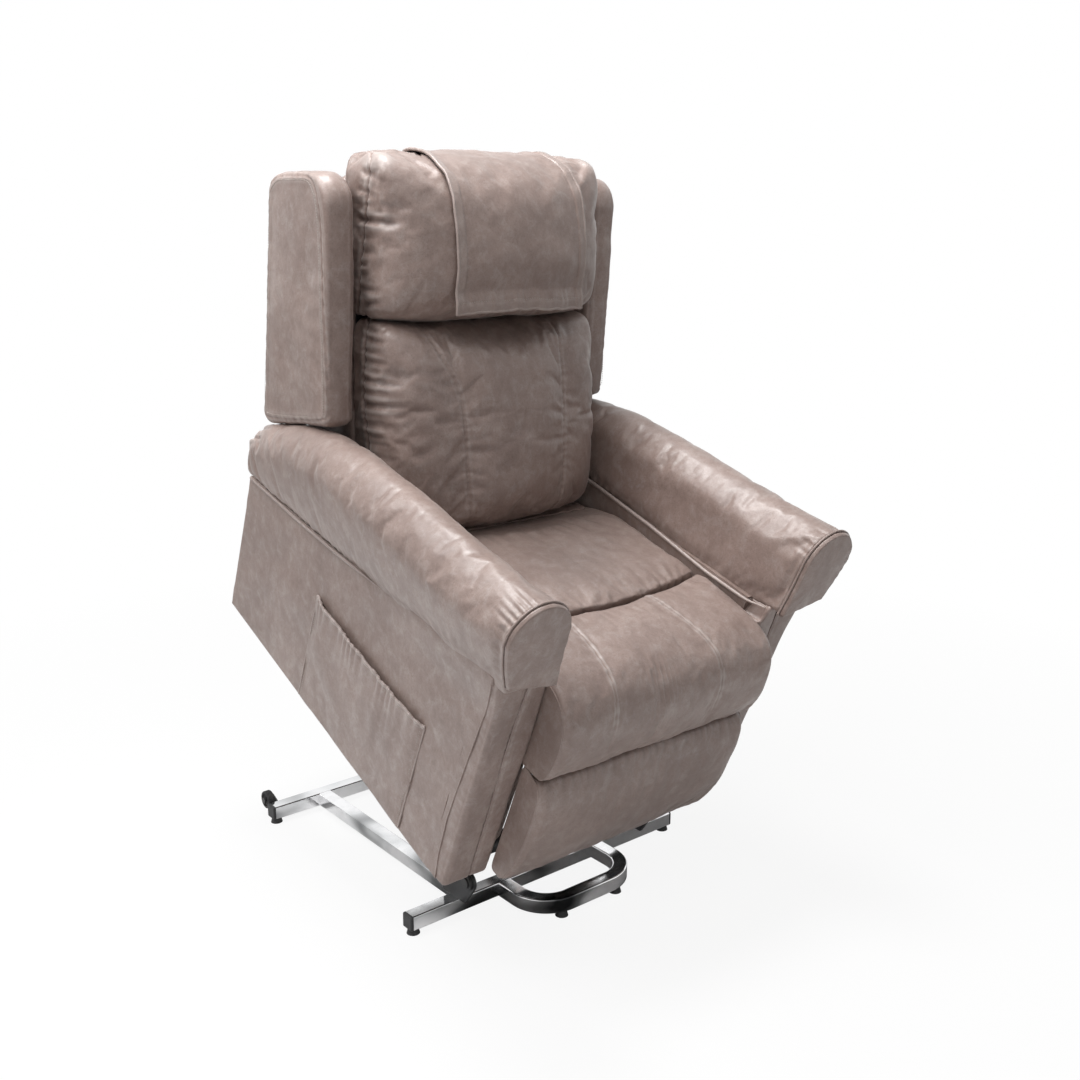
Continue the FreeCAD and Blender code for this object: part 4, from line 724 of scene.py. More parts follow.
class Look:
    """A material under way: its node tree, its shader and the few ways to add to them."""

    def __init__(self, name, **fixed):
        self.material = bpy.data.materials.new(name)
        self.material.use_nodes = True
        self.tree = self.material.node_tree
        self.shader = self.tree.nodes["Principled BSDF"]
        self.output = self.tree.nodes["Material Output"]
        for key, value in fixed.items():
            self.shader.inputs[key.replace("_", " ")].default_value = value

    def node(self, kind, settings=None, sockets=None):
        """Adds a node, makes its settings, then feeds its sockets with values or links."""
        node = self.tree.nodes.new(kind)
        for key, value in (settings or {}).items():
            if key == "stops":
                ramp = node.color_ramp.elements
                for _ in range(len(value) - 2):
                    ramp.new(0.5)
                for element, (place, colour) in zip(ramp, value):
                    element.position = place
                    element.color = (*colour, 1.0)
            else:
                setattr(node, key, value)
        for key, value in (sockets or {}).items():
            self.feed(node.inputs[key], value)
        return node

    def feed(self, socket, value):
        """Links a Tone or a socket to a socket, or sets its value."""
        if isinstance(value, Tone):
            value = value.socket
        if isinstance(value, bpy.types.NodeSocket):
            self.tree.links.new(value, socket)
        else:
            socket.default_value = value

    def place(self, scale=(1, 1, 1), turn=(0, 0, 0), shift=(0, 0, 0)):
        """Object coordinates, shifted, turned and scaled."""
        where = self.node("ShaderNodeTexCoord")
        node = self.node("ShaderNodeMapping", {}, {
            "Vector": where.outputs["Object"], "Scale": scale, "Rotation": turn, "Location": shift})
        return node.outputs["Vector"]

    def noise(self, where, scale, detail=4.0, rough=0.55, distortion=0.0):
        """Noise value from 0 to 1."""
        node = self.node("ShaderNodeTexNoise", {}, {
            "Vector": where, "Scale": scale, "Detail": detail, "Roughness": rough,
            "Distortion": distortion})
        return Tone(self, node.outputs["Fac"])

    def cells(self, where, scale, feature="F1"):
        """Distance in a field of random cells."""
        node = self.node("ShaderNodeTexVoronoi", {"feature": feature}, {
            "Vector": where, "Scale": scale})
        return Tone(self, node.outputs["Distance"])

    def ranged(self, value, low, high, to_low=0.0, to_high=1.0):
        """A value moved from one range to another and kept inside it."""
        node = self.node("ShaderNodeMapRange", {}, {
            "Value": value, "From Min": low, "From Max": high, "To Min": to_low, "To Max": to_high})
        return Tone(self, node.outputs["Result"])

    def mixed(self, share, first, second):
        """Colour between two colours."""
        node = self.node("ShaderNodeMix", {"data_type": "RGBA"}, {0: share})
        for index, value in ((6, first), (7, second)):
            if isinstance(value, (tuple, list)) and len(value) == 3:
                value = (*value, 1.0)
            self.feed(node.inputs[index], value)
        return node.outputs[2]

    def graded(self, value, *stops):
        """Colour read from a ramp with stops (place, colour)."""
        return self.node("ShaderNodeValToRGB", {"stops": stops}, {"Fac": value}).outputs["Color"]

    def attribute(self, name):
        """Value kept on the mesh under a name."""
        node = self.node("ShaderNodeAttribute", {"attribute_name": name})
        return Tone(self, node.outputs["Fac"])

    def bump(self, height, strength, distance, under=None):
        """Bump of a height, 1 standing for distance in metres, over another bump if given."""
        sockets = {"Height": height, "Strength": strength, "Distance": distance}
        if under is not None:
            sockets["Normal"] = under
        return self.node("ShaderNodeBump", {}, sockets).outputs["Normal"]

    def finish(self, **links):
        """Feeds the shader's sockets and gives the material."""
        for key, value in links.items():
            self.feed(self.shader.inputs[key.replace("_", " ")], value)
        return self.material


def linear(colour):
    """Screen colour 0 to 255 as linear light."""
    share = np.asarray(colour, float) / 255
    out = np.where(share <= 0.04045, share / 12.92, ((share + 0.055) / 1.055) ** 2.4)
    return tuple(float(v) for v in out)


def suede_look(name, tint=1.0, fine=1.0):
    """Worn suede-like cover: finely speckled taupe, crests rubbed pale with a painted highlight in
    part, painted shade in seams.
    """
    props = bpy.context.scene.recliner_cover
    look = Look(name, Specular_IOR_Level=0.45, Sheen_Weight=0.16, Sheen_Roughness=0.4,
                Coat_Weight=0.5, Coat_Roughness=0.34)
    look.shader.inputs["Sheen Tint"].default_value = (0.95, 0.93, 0.92, 1.0)
    level = look.place(turn=(-TILT, 0, 0))
    cloud = look.noise(level, 7.5, 4.0, 0.55, 0.3)
    patch = look.noise(look.place((1, 1, 0.8), turn=(-TILT, 0, 0)), 42.0, 6.0, 0.62, 0.5)
    rub = look.noise(look.place((1.0, 1.0, 0.85), turn=(-TILT, 0, 0)), 120.0, 6.0, 0.75, 0.5)
    speck = look.noise(level, 330.0, 4.0, 0.7)
    veins = look.cells(look.place((1.0, 1.0, 0.7), turn=(-TILT, 0.5, 0)), 55.0, "DISTANCE_TO_EDGE")
    relief = look.attribute("relief")
    mid = tuple(v * tint for v in props.cover_colour)
    pale = tuple(v * tint for v in props.rubbed_and_sheen_colour)
    dark = tuple(v * tint for v in props.shade_colour)
    base = look.mixed(look.ranged(cloud, 0.3, 0.66, 0.5, 1.0), dark, mid)
    base = look.mixed(look.ranged(patch, 0.5, 0.76, 0.0, 0.4), base, pale)
    base = look.mixed(look.ranged(patch, 0.48, 0.26, 0.0, 0.4), base, dark)
    base = look.mixed(look.ranged(rub, 0.52, 0.74, 0.0, 0.2), base, pale)
    base = look.mixed(look.ranged(rub, 0.48, 0.28, 0.0, 0.42), base, dark)
    base = look.mixed(look.ranged(speck, 0.48, 0.3, 0.0, 0.5), base, dark)
    cracked = look.ranged(veins, 0.035, 0.0, 0.0, 0.16) * look.ranged(cloud, 0.4, 0.7)
    base = look.mixed(cracked, base, pale)
    # Raised relief turns pale: rubbed nap, and in part a painted highlight.
    base = look.mixed(look.ranged(relief, 0.2, 1.6, 0.0, 0.6), base, pale)
    # Sunken relief in seams, folds and gathers is darkened: painted shade.
    painted_seam_shade = tuple(v * 0.45 for v in dark)
    base = look.mixed(look.ranged(relief, -0.3, -2.6, 0.0, 0.5), base, painted_seam_shade)
    grain = look.cells(level, 520.0 * fine)
    nap = look.noise(level, 260.0 * fine, 4.0, 0.7)
    crease = look.noise(level, 46.0, 5.0, 0.6, 0.8)
    rough = look.ranged(patch, 0.3, 0.75, 0.56, 0.43) + (rub - 0.5) * 0.16
    normal = look.bump(crease, 0.3, 0.003)
    normal = look.bump(nap * 0.6 + grain * 0.4, 0.28, 0.0007, normal)
    return look.finish(Base_Color=base, Roughness=rough, Normal=normal)


def thread_look(name):
    """Sewing thread, paler than the cover, twisted."""
    look = Look(name, Specular_IOR_Level=0.35, Sheen_Weight=0.3)
    where = look.place()
    lay = look.noise(where, 900.0, 2.0)
    base = look.mixed(lay, linear((150, 138, 130)), linear((192, 184, 176)))
    return look.finish(Base_Color=base, Roughness=look.ranged(lay, 0, 1, 0.6, 0.8),
                       Normal=look.bump(lay, 0.3, 0.0003))


def chrome_look(name):
    """Bright plated tube: long soft passages from near white to black as painted reflections, faint
    drawing marks.
    """
    look = Look(name, Metallic=1.0)
    where = look.place()
    haze = look.noise(where, 30.0, 5.0, 0.6, 0.4)
    drawn = look.noise(look.place((6, 6, 400)), 3.0, 3.0, 0.6)
    # Painted reflection: a stretched noise graded from near black to near white in the metal's
    # colour stands in for the dark and bright surroundings it would mirror.
    painted_reflection = look.noise(look.place((1.0, 1.0, 2.2)), 7.0, 1.0, 0.4, 0.2)
    base = look.graded(painted_reflection, (0.28, (0.03, 0.031, 0.033)), (0.4, (0.24, 0.245, 0.25)),
                       (0.5, (0.78, 0.79, 0.8)), (0.58, (0.95, 0.95, 0.96)))
    base = look.mixed(look.ranged(haze, 0.45, 0.8, 0.0, 0.25), base, (0.45, 0.46, 0.47))
    rough = look.ranged(haze, 0.35, 0.75, 0.06, 0.2)
    normal = look.bump(drawn * 0.5 + haze * 0.5, 0.06, 0.001)
    return look.finish(Base_Color=base, Roughness=rough, Normal=normal)


def rod_look(name):
    """Drawn and brushed steel rod: fine lines along it and a light oil film."""
    look = Look(name, Metallic=1.0)
    lines = look.noise(look.place((900, 900, 12)), 1.0, 4.0, 0.6)
    film = look.noise(look.place(), 40.0, 5.0, 0.6, 0.4)
    base = look.mixed(film, (0.42, 0.42, 0.43), (0.62, 0.62, 0.63))
    return look.finish(Base_Color=base, Roughness=look.ranged(lines, 0.2, 0.8, 0.2, 0.42),
                       Normal=look.bump(lines, 0.12, 0.0005))


def worn_look(name, shine, pores, patches, colours, dull, relief, top=0.8):
    """Dark hard skin with pores of one size, dusty or rubbed in patches that are paler, duller.

    pores sizes a noise, or a field of cells where it is one number. patches sizes the noise
    that spreads colour and roughness, up to its value top. relief is the bump's strength and
    depth in metres.
    """
    look = Look(name, Specular_IOR_Level=shine)
    where = look.place()
    fine = look.noise(where, *pores) if isinstance(pores, tuple) else look.cells(where, pores)
    worn = look.noise(where, *patches)
    return look.finish(
        Base_Color=look.mixed(look.ranged(worn, 0.4, top), *colours),
        Roughness=look.ranged(worn, 0.3, top, *dull), Normal=look.bump(fine, *relief))


def painted_look(name):
    """Dark powder-coated steel: fine orange peel, edges dusted, a few rubs."""
    return worn_look(name, 0.5, (420.0, 2.0, 0.5), (14.0, 6.0, 0.65, 0.5),
                     ((0.018, 0.018, 0.02), (0.06, 0.058, 0.056)), (0.34, 0.58), (0.18, 0.0006))


def plastic_look(name):
    """Moulded plastic with a fine etched grain and handling marks."""
    return worn_look(name, 0.45, 700.0, (22.0, 6.0, 0.6, 0.6),
                     ((0.02, 0.02, 0.021), (0.048, 0.048, 0.0499)), (0.42, 0.62), (0.2, 0.0004),
                     0.75)


def rubber_look(name):
    """Tyre rubber: dull, dusty in patches, with a fine pitted skin."""
    return worn_look(name, 0.3, 900.0, (60.0, 5.0, 0.7, 0.3),
                     ((0.022, 0.022, 0.024), (0.11, 0.105, 0.1)), (0.68, 0.9), (0.25, 0.0004))


def webbing_look(name):
    """Elastic webbing: ribs along its length with cross threads between them."""
    look = Look(name, Specular_IOR_Level=0.25, Sheen_Weight=0.2)
    rib, pick = (
        Tone(look, look.node("ShaderNodeTexWave", {"wave_type": "BANDS", "bands_direction": way}, {
            "Vector": look.place(), "Scale": scale, "Distortion": bend, "Detail": 1.0,
        }).outputs["Fac"])
        for way, scale, bend in (("X", 110.0, 0.2), ("Y", 260.0, 0.4)))
    fuzz = look.noise(look.place(), 300.0, 3.0)
    base = look.mixed(rib * pick, (0.02, 0.02, 0.022), (0.085, 0.083, 0.082))
    return look.finish(Base_Color=base, Roughness=look.ranged(fuzz, 0, 1, 0.72, 0.92),
                       Normal=look.bump(rib * 0.6 + pick * 0.4, 0.5, 0.0008))


def board_look(name):
    """Plywood of the legrest: long pale and brown grain with pores."""
    look = Look(name, Specular_IOR_Level=0.3)
    flow = look.noise(look.place((1.2, 14, 14), turn=(-TILT, 0, 0)), 5.0, 6.0, 0.6, 1.1)
    pores = look.noise(look.place((8, 260, 260), turn=(-TILT, 0, 0)), 4.0, 3.0, 0.7)
    base = look.graded(flow, (0.25, (0.33, 0.2, 0.1)), (0.5, (0.55, 0.38, 0.22)),
                       (0.75, (0.68, 0.5, 0.32)))
    base = look.mixed(look.ranged(pores, 0.62, 0.75, 0.0, 0.6), base, (0.2, 0.12, 0.06))
    return look.finish(Base_Color=base, Roughness=look.ranged(flow, 0.2, 0.8, 0.55, 0.7),
                       Normal=look.bump(pores, 0.2, 0.0005))


def dress(obj, material, body=None, replaces=()):
    """Gives a piece its finish, its body if it has one alone, and the solids it stands for."""
    obj.data.materials.clear()
    obj.data.materials.append(material)
    if body:
        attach(obj, body)
    for node in replaces:
        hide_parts(node)
    return obj


def between(rows, column, where):
    """A column of a table of stations read between its rows."""
    table = np.asarray(rows, float)
    return np.interp(where, table[:, 0], table[:, column])


def ends_of(rows):
    """Places of the first and last station of a table."""
    return rows[0][0], rows[-1][0]


def boxed_seam(rows, x, u, w):
    """Signed distance to the boxing seam and how far a point lies where that seam runs."""
    ends = ends_of(rows)
    near = smooth_step(212, 232, np.abs(x))
    near = np.maximum(near, smooth_step(ends[1] - 16, ends[1] - 3, w))
    near = np.maximum(near, 1 - smooth_step(ends[0] + 3, ends[0] + 16, w))
    return u - between(rows, 3, w), near


def arched(points, ends, arches, way=1.0):
    """Moves a cushion's two ends along it, most in the middle, by a parabola across.

    The move fades over 110 mm from each end. With way at -1 it is undone, in rounds that each
    start from the last one's answer.
    """
    x, u, w = np.moveaxis(np.asarray(points, float), -1, 0)
    across = np.clip(1 - (x / 240) ** 2, 0, 1)
    base = w
    for _ in range(3 if way < 0 else 1):
        low = arches[0] * (1 - smooth_step(ends[0], ends[0] + 110, base))
        high = arches[1] * smooth_step(ends[1] - 110, ends[1], base)
        base = w + way * across * (low + high)
    return np.stack((x, u, base), -1)


def drawn_back(points, near, far, way=1.0):
    """Moves the seam between seat and knee pad back, most at its ends, fading from near to far.

    With way at -1 the move is undone, in rounds that each start from the last one's answer.
    """
    x, y, z = np.moveaxis(np.asarray(points, float), -1, 0)
    shift = 13 + 32 * (x / 250) ** 2
    base = y
    for _ in range(5 if way < 0 else 1):
        base = y + way * shift * smooth_step(far, near, base)
    return np.stack((x, base, z), -1)


def bent(place, read_place, bend, *terms):
    """Pair of functions that bend and place points, and that read them and undo the bend."""
    return (lambda points: place(bend(points, *terms)),
            lambda points: bend(read_place(points), *terms, -1.0))


HEAD_PLACES = bent(back_place, back_read, arched, ends_of(HEAD_ROWS), (9.0, 0.0))
LUMBAR_PLACES = bent(back_place, back_read, arched, ends_of(LUMBAR_ROWS), (0.0, -14.0))
SEAT_PLACES = bent(seat_place, seat_read, drawn_back, 135.0, 300.0)
KNEE_PLACES = bent(seat_place, seat_read, drawn_back, 125.0, 20.0)
LEVEL_PLACES = (seat_place, seat_read)


def cushion(name, rows, places, order, forms, body, replaces, soft, work):
    """Boxed cushion: woven from its control net, swollen as cloth, then carved with its seams.

    order turns the net's axes to those of its place, forms gives its seams and its relief, soft
    its unevenness, and work the pressure, the cap and the slack of its swelling.
    """
    place, read_place = places
    held, relief = forms
    obj = skin(name, place(woven(cushion_net(rows), 64, 128, 0.9)[..., order]))
    swell(obj, read_place, held, *work)
    p = read_place(read(obj.data))
    carve(obj, relief(p), uneven(p, *soft) * (1 - held(p)))
    dress(obj, cover(), body, replaces)
    return obj


def head_held(p):
    """The rear face and a strip along the boxing seam."""
    x, u, w = p.T
    off, near = boxed_seam(HEAD_ROWS, x, u, w)
    return (u > 52) | ((np.abs(off) < 4.5) & (near > 0.6))


HEAD_FOLDS = (
    (-84, 366, 60, 356, 4.6, 6.0), (-84, 243, -10, 240, 2.4, 5.0), (-80, 215, 0, 222, 3.0, 5.0),
    (-82, 306, -34, 310, 1.8, 6.0), (-84, 418, -20, 400, 2.2, 6.0), (-70, 448, 10, 428, 2.4, 6.0),
    (-84, 332, -44, 336, 1.6, 5.0), (-84, 268, -40, 270, 1.6, 5.0), (-84, 286, -50, 288, 1.3, 4.0),
)


def head_relief(p):
    """Boxing seam with puckers, folds running in from it, dog-ears at the upper corners."""
    x, u, w = p.T
    off, near = boxed_seam(HEAD_ROWS, x, u, w)
    girth = 250 - np.abs(x) - (u + 72)
    out = near * groove(off, 3.2, 3.0)
    left = smooth_step(60, -60, x)
    out += folds(girth, w, HEAD_FOLDS) * left
    out += folds(girth, w + 14 * np.sin(w / 31), HEAD_FOLDS) * (1 - left) * 0.8
    out += near * 0.7 * np.sin(w / 2.6 + 3 * np.sin(w / 21)) * np.exp(-(off / 11) ** 2)
    ear = np.exp(-(((np.abs(x) - 236) / 15) ** 2 + ((w - 462) / 17) ** 2 + ((u + 30) / 30) ** 2))
    out += 5 * ear
    return out * smooth_step(57, 40, u)


LUMBAR_SEAMS = (
    ((-172, 184), (-150, 119), (-124, 57), (-117, -19), (-117, -99), (-112, -170), (-104, -216)),
    ((136, 184), (133, 138), (129, 16), (121, -103), (112, -170), (104, -216)),
)
LUMBAR_FOLDS = (
    (-84, 170, -10, 166, 2.0, 4.5), (-84, 151, 6, 147, 2.4, 4.5), (-84, 128, -8, 128, 1.8, 4.0),
    (-84, 111, 14, 107, 2.6, 4.5), (-84, 76, 56, 68, 3.4, 5.5), (-84, 28, 76, 33, 3.8, 6.0),
    (-84, 52, 0, 54, 1.6, 4.0), (-84, -10, 6, -5, 2.4, 5.0), (-84, -33, 10, -28, 2.0, 5.0),
    (-84, -70, -6, -67, 1.8, 5.0), (-82, -104, 6, -98, 2.0, 6.0), (-80, -142, 6, -132, 1.8, 6.0),
    (60, -60, 140, -40, 1.4, 10.0), (70, 96, 150, 84, 1.4, 10.0),
)


def lumbar_seams(p):
    """For each sewn line down the face, a point's distance to it and whether it is in front."""
    x, u, w = p.T
    front = smooth_step(-25, -50, u)
    return [(track(x, w, seam), front) for seam in LUMBAR_SEAMS]


def lumbar_held(p):
    """The rear face, a strip along the boxing seam and one along each line down the face."""
    x, u, w = p.T
    off, near = boxed_seam(LUMBAR_ROWS, x, u, w)
    fixed = (u > 52) | ((np.abs(off) < 4.5) & (near > 0.6))
    for distance, front in lumbar_seams(p):
        fixed |= (np.abs(distance) < 3.5) & (front > 0.5) & (w > -190) & (w < 172)
    return fixed


def lumbar_relief(p):
    """Boxing seam, two sewn lines down the face with puckers, folds from the sides."""
    x, u, w = p.T
    off, near = boxed_seam(LUMBAR_ROWS, x, u, w)
    girth = 250 - np.abs(x) - (u + 70)
    out = near * groove(off, 3.2, 3.0)
    left = smooth_step(60, -60, x)
    out += folds(girth, w, LUMBAR_FOLDS) * left
    out += folds(girth, w + 11 * np.sin(w / 27), LUMBAR_FOLDS) * (1 - left) * 0.75
    out += near * 0.8 * np.sin(w / 2.4 + 3 * np.sin(w / 19)) * np.exp(-(off / 12) ** 2)
    for distance, front in lumbar_seams(p):
        out += front * groove(distance, 0.9, 2.4, 0.7)
        out += front * 0.35 * np.sin(w / 2.1 + 2 * np.sin(w / 17)) * np.exp(-(distance / 8) ** 2)
    return out * smooth_step(57, 40, u)


def seat_held(p):
    """The underside, the boxing seam at the sides, the rear edge and the front edge."""
    x, y, z = p.T
    return (z < DECK_LOW + 6) | (np.abs(z - 400) < 4) & (np.abs(x) > 226) | (y > 440) | (y < 134)


SEAT_PUCKERS = (-196, -128, -60, 12, 88, 142, 166, 189, 212)


def seat_relief(p):
    """Shallow dish, puckers behind the front seam, soft wrinkles."""
    x, y, z = p.T
    top = smooth_step(415, 430, z)
    pucker = sum(np.exp(-((x - place) / 5.0) ** 2) for place in SEAT_PUCKERS)
    out = -1.5 * top * pucker * np.exp(-((y - 136) / 14) ** 2)
    out -= top * 2.0 * np.exp(-(x / 170) ** 2 - ((y - 290) / 110) ** 2)
    out += top * groove(y - 129, 2.0, 3.0, 0.2)
    return out


# Sewn lines on the knee pad, left and right: place across at ways from the rear of its top over
# the nose, and the heights between which the line fades out
KNEE_WAYS = (0, 60, 110, 165, 210, 330)
KNEE_LINES = (
    ((-122, -126, -133, -141, -143, -140), (346, 392)),
    ((88, 97, 105, 110, 113, 116), (318, 362)),
)


def knee_seam(line, y, z):
    """Place across of a sewn line on the knee pad, read at the way over its top and nose."""
    run = np.where(z > 420, 120 - y, 180 + (450 - z))
    return np.interp(run, KNEE_WAYS, line)


def crests(value, sharp):
    """A wave with narrow tops and broad valleys, from 0 to 1: a raised sine to a power."""
    return (0.5 + 0.5 * np.sin(value)) ** sharp


def knee_relief(p):
    """Two raised sewn ridges, fine folds between them over the nose, gathers at the crease."""
    x, y, z = p.T
    shown = np.maximum(smooth_step(405, 425, z), smooth_step(-46, -56, y))
    out = np.zeros(len(x))
    for line, fade in KNEE_LINES:
        end = smooth_step(*fade, z)
        off = x - knee_seam(line, y, z)
        pair = np.exp(-((np.abs(off) - 3.6) / 2.5) ** 2) * 1.7 - 0.5 * np.exp(-(off / 2.0) ** 2)
        out += shown * end * pair
        pucker = np.sin((y - z) / 2.9 + 2 * np.sin((y - z) / 19))
        out += shown * end * 0.5 * pucker * np.exp(-(off / 9) ** 2)
    wavy = x + 5 * np.sin(y / 37 + z / 43) + 2.5 * np.sin(z / 19 - y / 23)
    over = np.exp(-((y + 40) / 48) ** 2) * smooth_step(318, 352, z) * smooth_step(456, 432, z)
    band = np.exp(-((x + 22) / 46) ** 2)
    out += shown * over * band * 1.5 * (crests(wavy / 1.75 + 1.6 * np.sin(wavy / 15), 3.0) - 0.3)
    faint = 0.5 * (crests(wavy / 2.3 + 2.4 * np.sin(wavy / 21), 4.0) - 0.25)
    out += shown * over * (1 - band) * faint * np.exp(-((np.abs(x) - 120) / 70) ** 2)
    low = smooth_step(296, 270, z)
    out -= shown * low * 0.9 * crests(x / 4.1 + 2.4 * np.sin(x / 29.0), 2.0)
    out += shown * groove(y - 127, 2.0, 3.0, 0.2) * (z > 430)
    return out


def lower_relief(p):
    """Short gathers below the top seam and a sewn line along the lower edge."""
    x, y, z = p.T
    shown = smooth_step(-26, -36, y)
    top = smooth_step(228, 258, z)
    out = -shown * top * 1.5 * crests(x / 3.4 + 2.6 * np.sin(x / 24.0), 2.0)
    out += shown * groove(z - 12, 1.2, 3.0, 0.2)
    return out


def side_relief(p):
    """Short gathers that hang from the crease."""
    _, y, z = p.T
    under = np.exp(-((z - 258) / 16) ** 2) + 0.7 * np.exp(-((z - 276) / 7) ** 2)
    return 0.5 * (crests(y / 2.6 + 2 * np.sin(y / 13), 2.0) - 0.4) * under


def side_flap(name, outline, side, places, body=None):
    """Side face of a leg pad: a thin padded panel that runs back past the pad."""
    place, read_place = places
    loop = loop_of(outline, 420, 1.0)
    grid = slab((loop, loop), (SIDE_IN, SIDE_OUT), 1.4, 0.0, 0.0, (40, 3, 3))
    obj = skin(name, place(mirror(grid, side)))
    p = read_place(read(obj.data))
    carve(obj, side_relief(p) * smooth_step(SIDE_OUT - 1.6, SIDE_OUT - 0.2, np.abs(p[:, 0])))
    dress(obj, cover(), body)
    return obj


def knee_bend(obj):
    """Bakes a piece's transform into its mesh."""
    seat_spot(0, 66, 449)
    seat_spot(0, -72, 286)
    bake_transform(obj)


def loop_of(points, count=220, tight=0.8):
    """Closed smooth outline through control points, its samples tied to them."""
    return spline(len(points), count, True, tight) @ np.asarray(points, float)


def knee_held(p):
    """The hidden inner face, the edges and a strip along each sewn line."""
    x, y, z = p.T
    hidden = (z < 420) & (y > -44)
    first, second = (np.abs(x - knee_seam(line, y, z)) for line, _ in KNEE_LINES)
    lines = np.minimum(first, second) < 4
    return hidden | (y > 118) | (z < 274) | (lines & (z > 320)) | (np.abs(x) > 246)


def leg_pad(name, outline, places, held):
    """A leg pad's section carried across the seat and swollen as cloth, and its points as read."""
    place, read_place = places
    loop = loop_of(outline)
    grid = slab((loop, loop), (-KNEE_HALF, KNEE_HALF), 9, 0.4, 0.0, (12, 6, 60))
    obj = skin(name, place(grid))
    swell(obj, read_place, held, *LEG_WORK)
    p = read_place(read(obj.data))
    return obj, p, smooth_step(252, 240, np.abs(p[:, 0]))


def build_knee_pad():
    """Knee pad in one piece over the hinge, its side faces, and the core behind it in two parts."""
    obj, p, inside = leg_pad("knee_pad_cover", KNEE_FLAP, KNEE_PLACES, knee_held)
    carve(obj, knee_relief(p), uneven(p, 1.2, 0.5, 15) * inside)
    dress(obj, cover(), None, ("knee_pad", "calf_pad"))
    knee_bend(obj)
    for side, name in SIDES:
        knee_bend(side_flap(f"knee_side_{name}", KNEE_SIDE, side, KNEE_PLACES))
    core = loop_of(KNEE_CORE, 120)
    for k, span in enumerate(KNEE_CORE_SPANS):
        grid = slab((core, core), span, 6, 1.0, 0.0, (8, 4, 20))
        inner = skin(f"knee_core_{k + 1}", seat_place(grid))
        # A darker copy of the cover: painted shade on the core behind the knee pad.
        dress(inner, LOOKS["lining"], "chair")


def lower_held(p):
    """The rear face and the edges."""
    x, y, z = p.T
    return (y > -34) | (z > 252) | (z < 14) | (np.abs(x) > 246)


def build_lower_pad():
    """Lower leg pad, bowed across by a parabola, with its side faces and the recess cloths."""
    obj, p, inside = leg_pad("lower_leg_pad", LOWER_LOOP, LEVEL_PLACES, lower_held)
    bow = smooth_step(-26, -36, p[:, 1]) * 3.0 * np.clip(1 - (p[:, 0] / 250) ** 2, 0, 1)
    carve(obj, lower_relief(p), bow + uneven(p, 1.2, 0.5, 19) * inside)
    dress(obj, cover(), "legrest", ("lower_pad",))
    for side, name in SIDES:
        side_flap(f"lower_side_{name}", LOWER_SIDE, side, LEVEL_PLACES, "legrest")
        build_recess(side, name)


def build_recess(side, name):
    """Cloth between post and legrest, hung from the chair in narrow upright folds.

    Its inner edge draws back below, where the lowered linkage passes, and at its top.
    """
    a, b = np.meshgrid(np.linspace(0, 1, 60), np.linspace(0, 1, 60))
    z = 6 + 268 * b
    inner = 237.0 + 9.5 * smooth_step(74, 63, z) + 15.0 * smooth_step(246, 274, z)
    x = inner + (255.6 - inner) * a
    y = 12.0 + 2.2 * np.sin(a * 17 + 1.6 * np.sin(b * 3))
    grid = seat_place(mirror(np.stack((x, y, z), -1), side))
    plain_cloth(f"recess_cloth_{name}", grid, 0.0016, "chair")


def plain_cloth(name, grid, thickness, body=None):
    """A thin padded cloth without seams, from a grid of places."""
    obj = thicken(skin(name, grid, closed=False), thickness)
    marked(obj, np.zeros(len(obj.data.vertices)))
    dress(obj, cover(), body)
    return obj


def arm_ring(row, grow):
    """Outline (X, Z) of the rolled arm at one station, grown by some millimetres.

    It runs up a bowed outer flank, over a half ellipse and down the inner flank to the edge.
    """
    _, outside, inside, x, z, half, top, flare = row
    half, top = half + grow, top + grow
    sunk = smooth_step(480, 330, row[0]) if grow < 0 else 0.0
    low_out = np.array((PANEL_OUT + 1.4 + flare + grow - 7 * sunk, outside - 24 * sunk))
    low_in = np.array((PANEL_IN + 4 + 0.4 * flare - grow, inside))
    out, inn = np.array((x + half, z)), np.array((x - half, z))
    t = np.linspace(0, 1, 6)[:, None]
    bow = 4 * t * (1 - t)
    flank_out = low_out * (1 - t) + out * t + bow * np.array((3.0, 0.0))
    flank_in = inn * (1 - t) + low_in * t + bow * np.array((2.0, 0.0))
    turn = np.linspace(0, math.pi, 13)[1:-1]
    over = np.stack((x + half * np.cos(turn), z + (top - z) * np.sin(turn)), 1)
    under = low_in * (1 - t[1:-1]) + low_out * t[1:-1]
    return spaced(np.vstack((flank_out, over, flank_in, under)), 64)


FACING_MIDDLE = (342.0, 560.0)
ARM_FOLDS = (
    (-22, 84, 30, 88, 0.9, 2.6), (-22, 74, 56, 80, 1.5, 3.0), (-22, 63, 34, 66, 1.3, 2.6),
    (-22, 52, 66, 60, 1.7, 3.0), (-22, 41, 40, 44, 1.4, 2.8), (-22, 29, 50, 34, 1.5, 3.2),
    (-22, 14, 30, 16, 1.0, 3.0), (-22, 108, 26, 108, 0.7, 3.0), (-22, 140, 40, 136, 1.2, 3.6),
    (-22, 158, 34, 153, 1.1, 3.6), (880, 96, 800, 84, 4.0, 6.0), (880, 66, 812, 58, 3.2, 5.0),
    (880, 124, 816, 132, 3.0, 5.0), (880, 36, 820, 28, 2.6, 5.0),
)


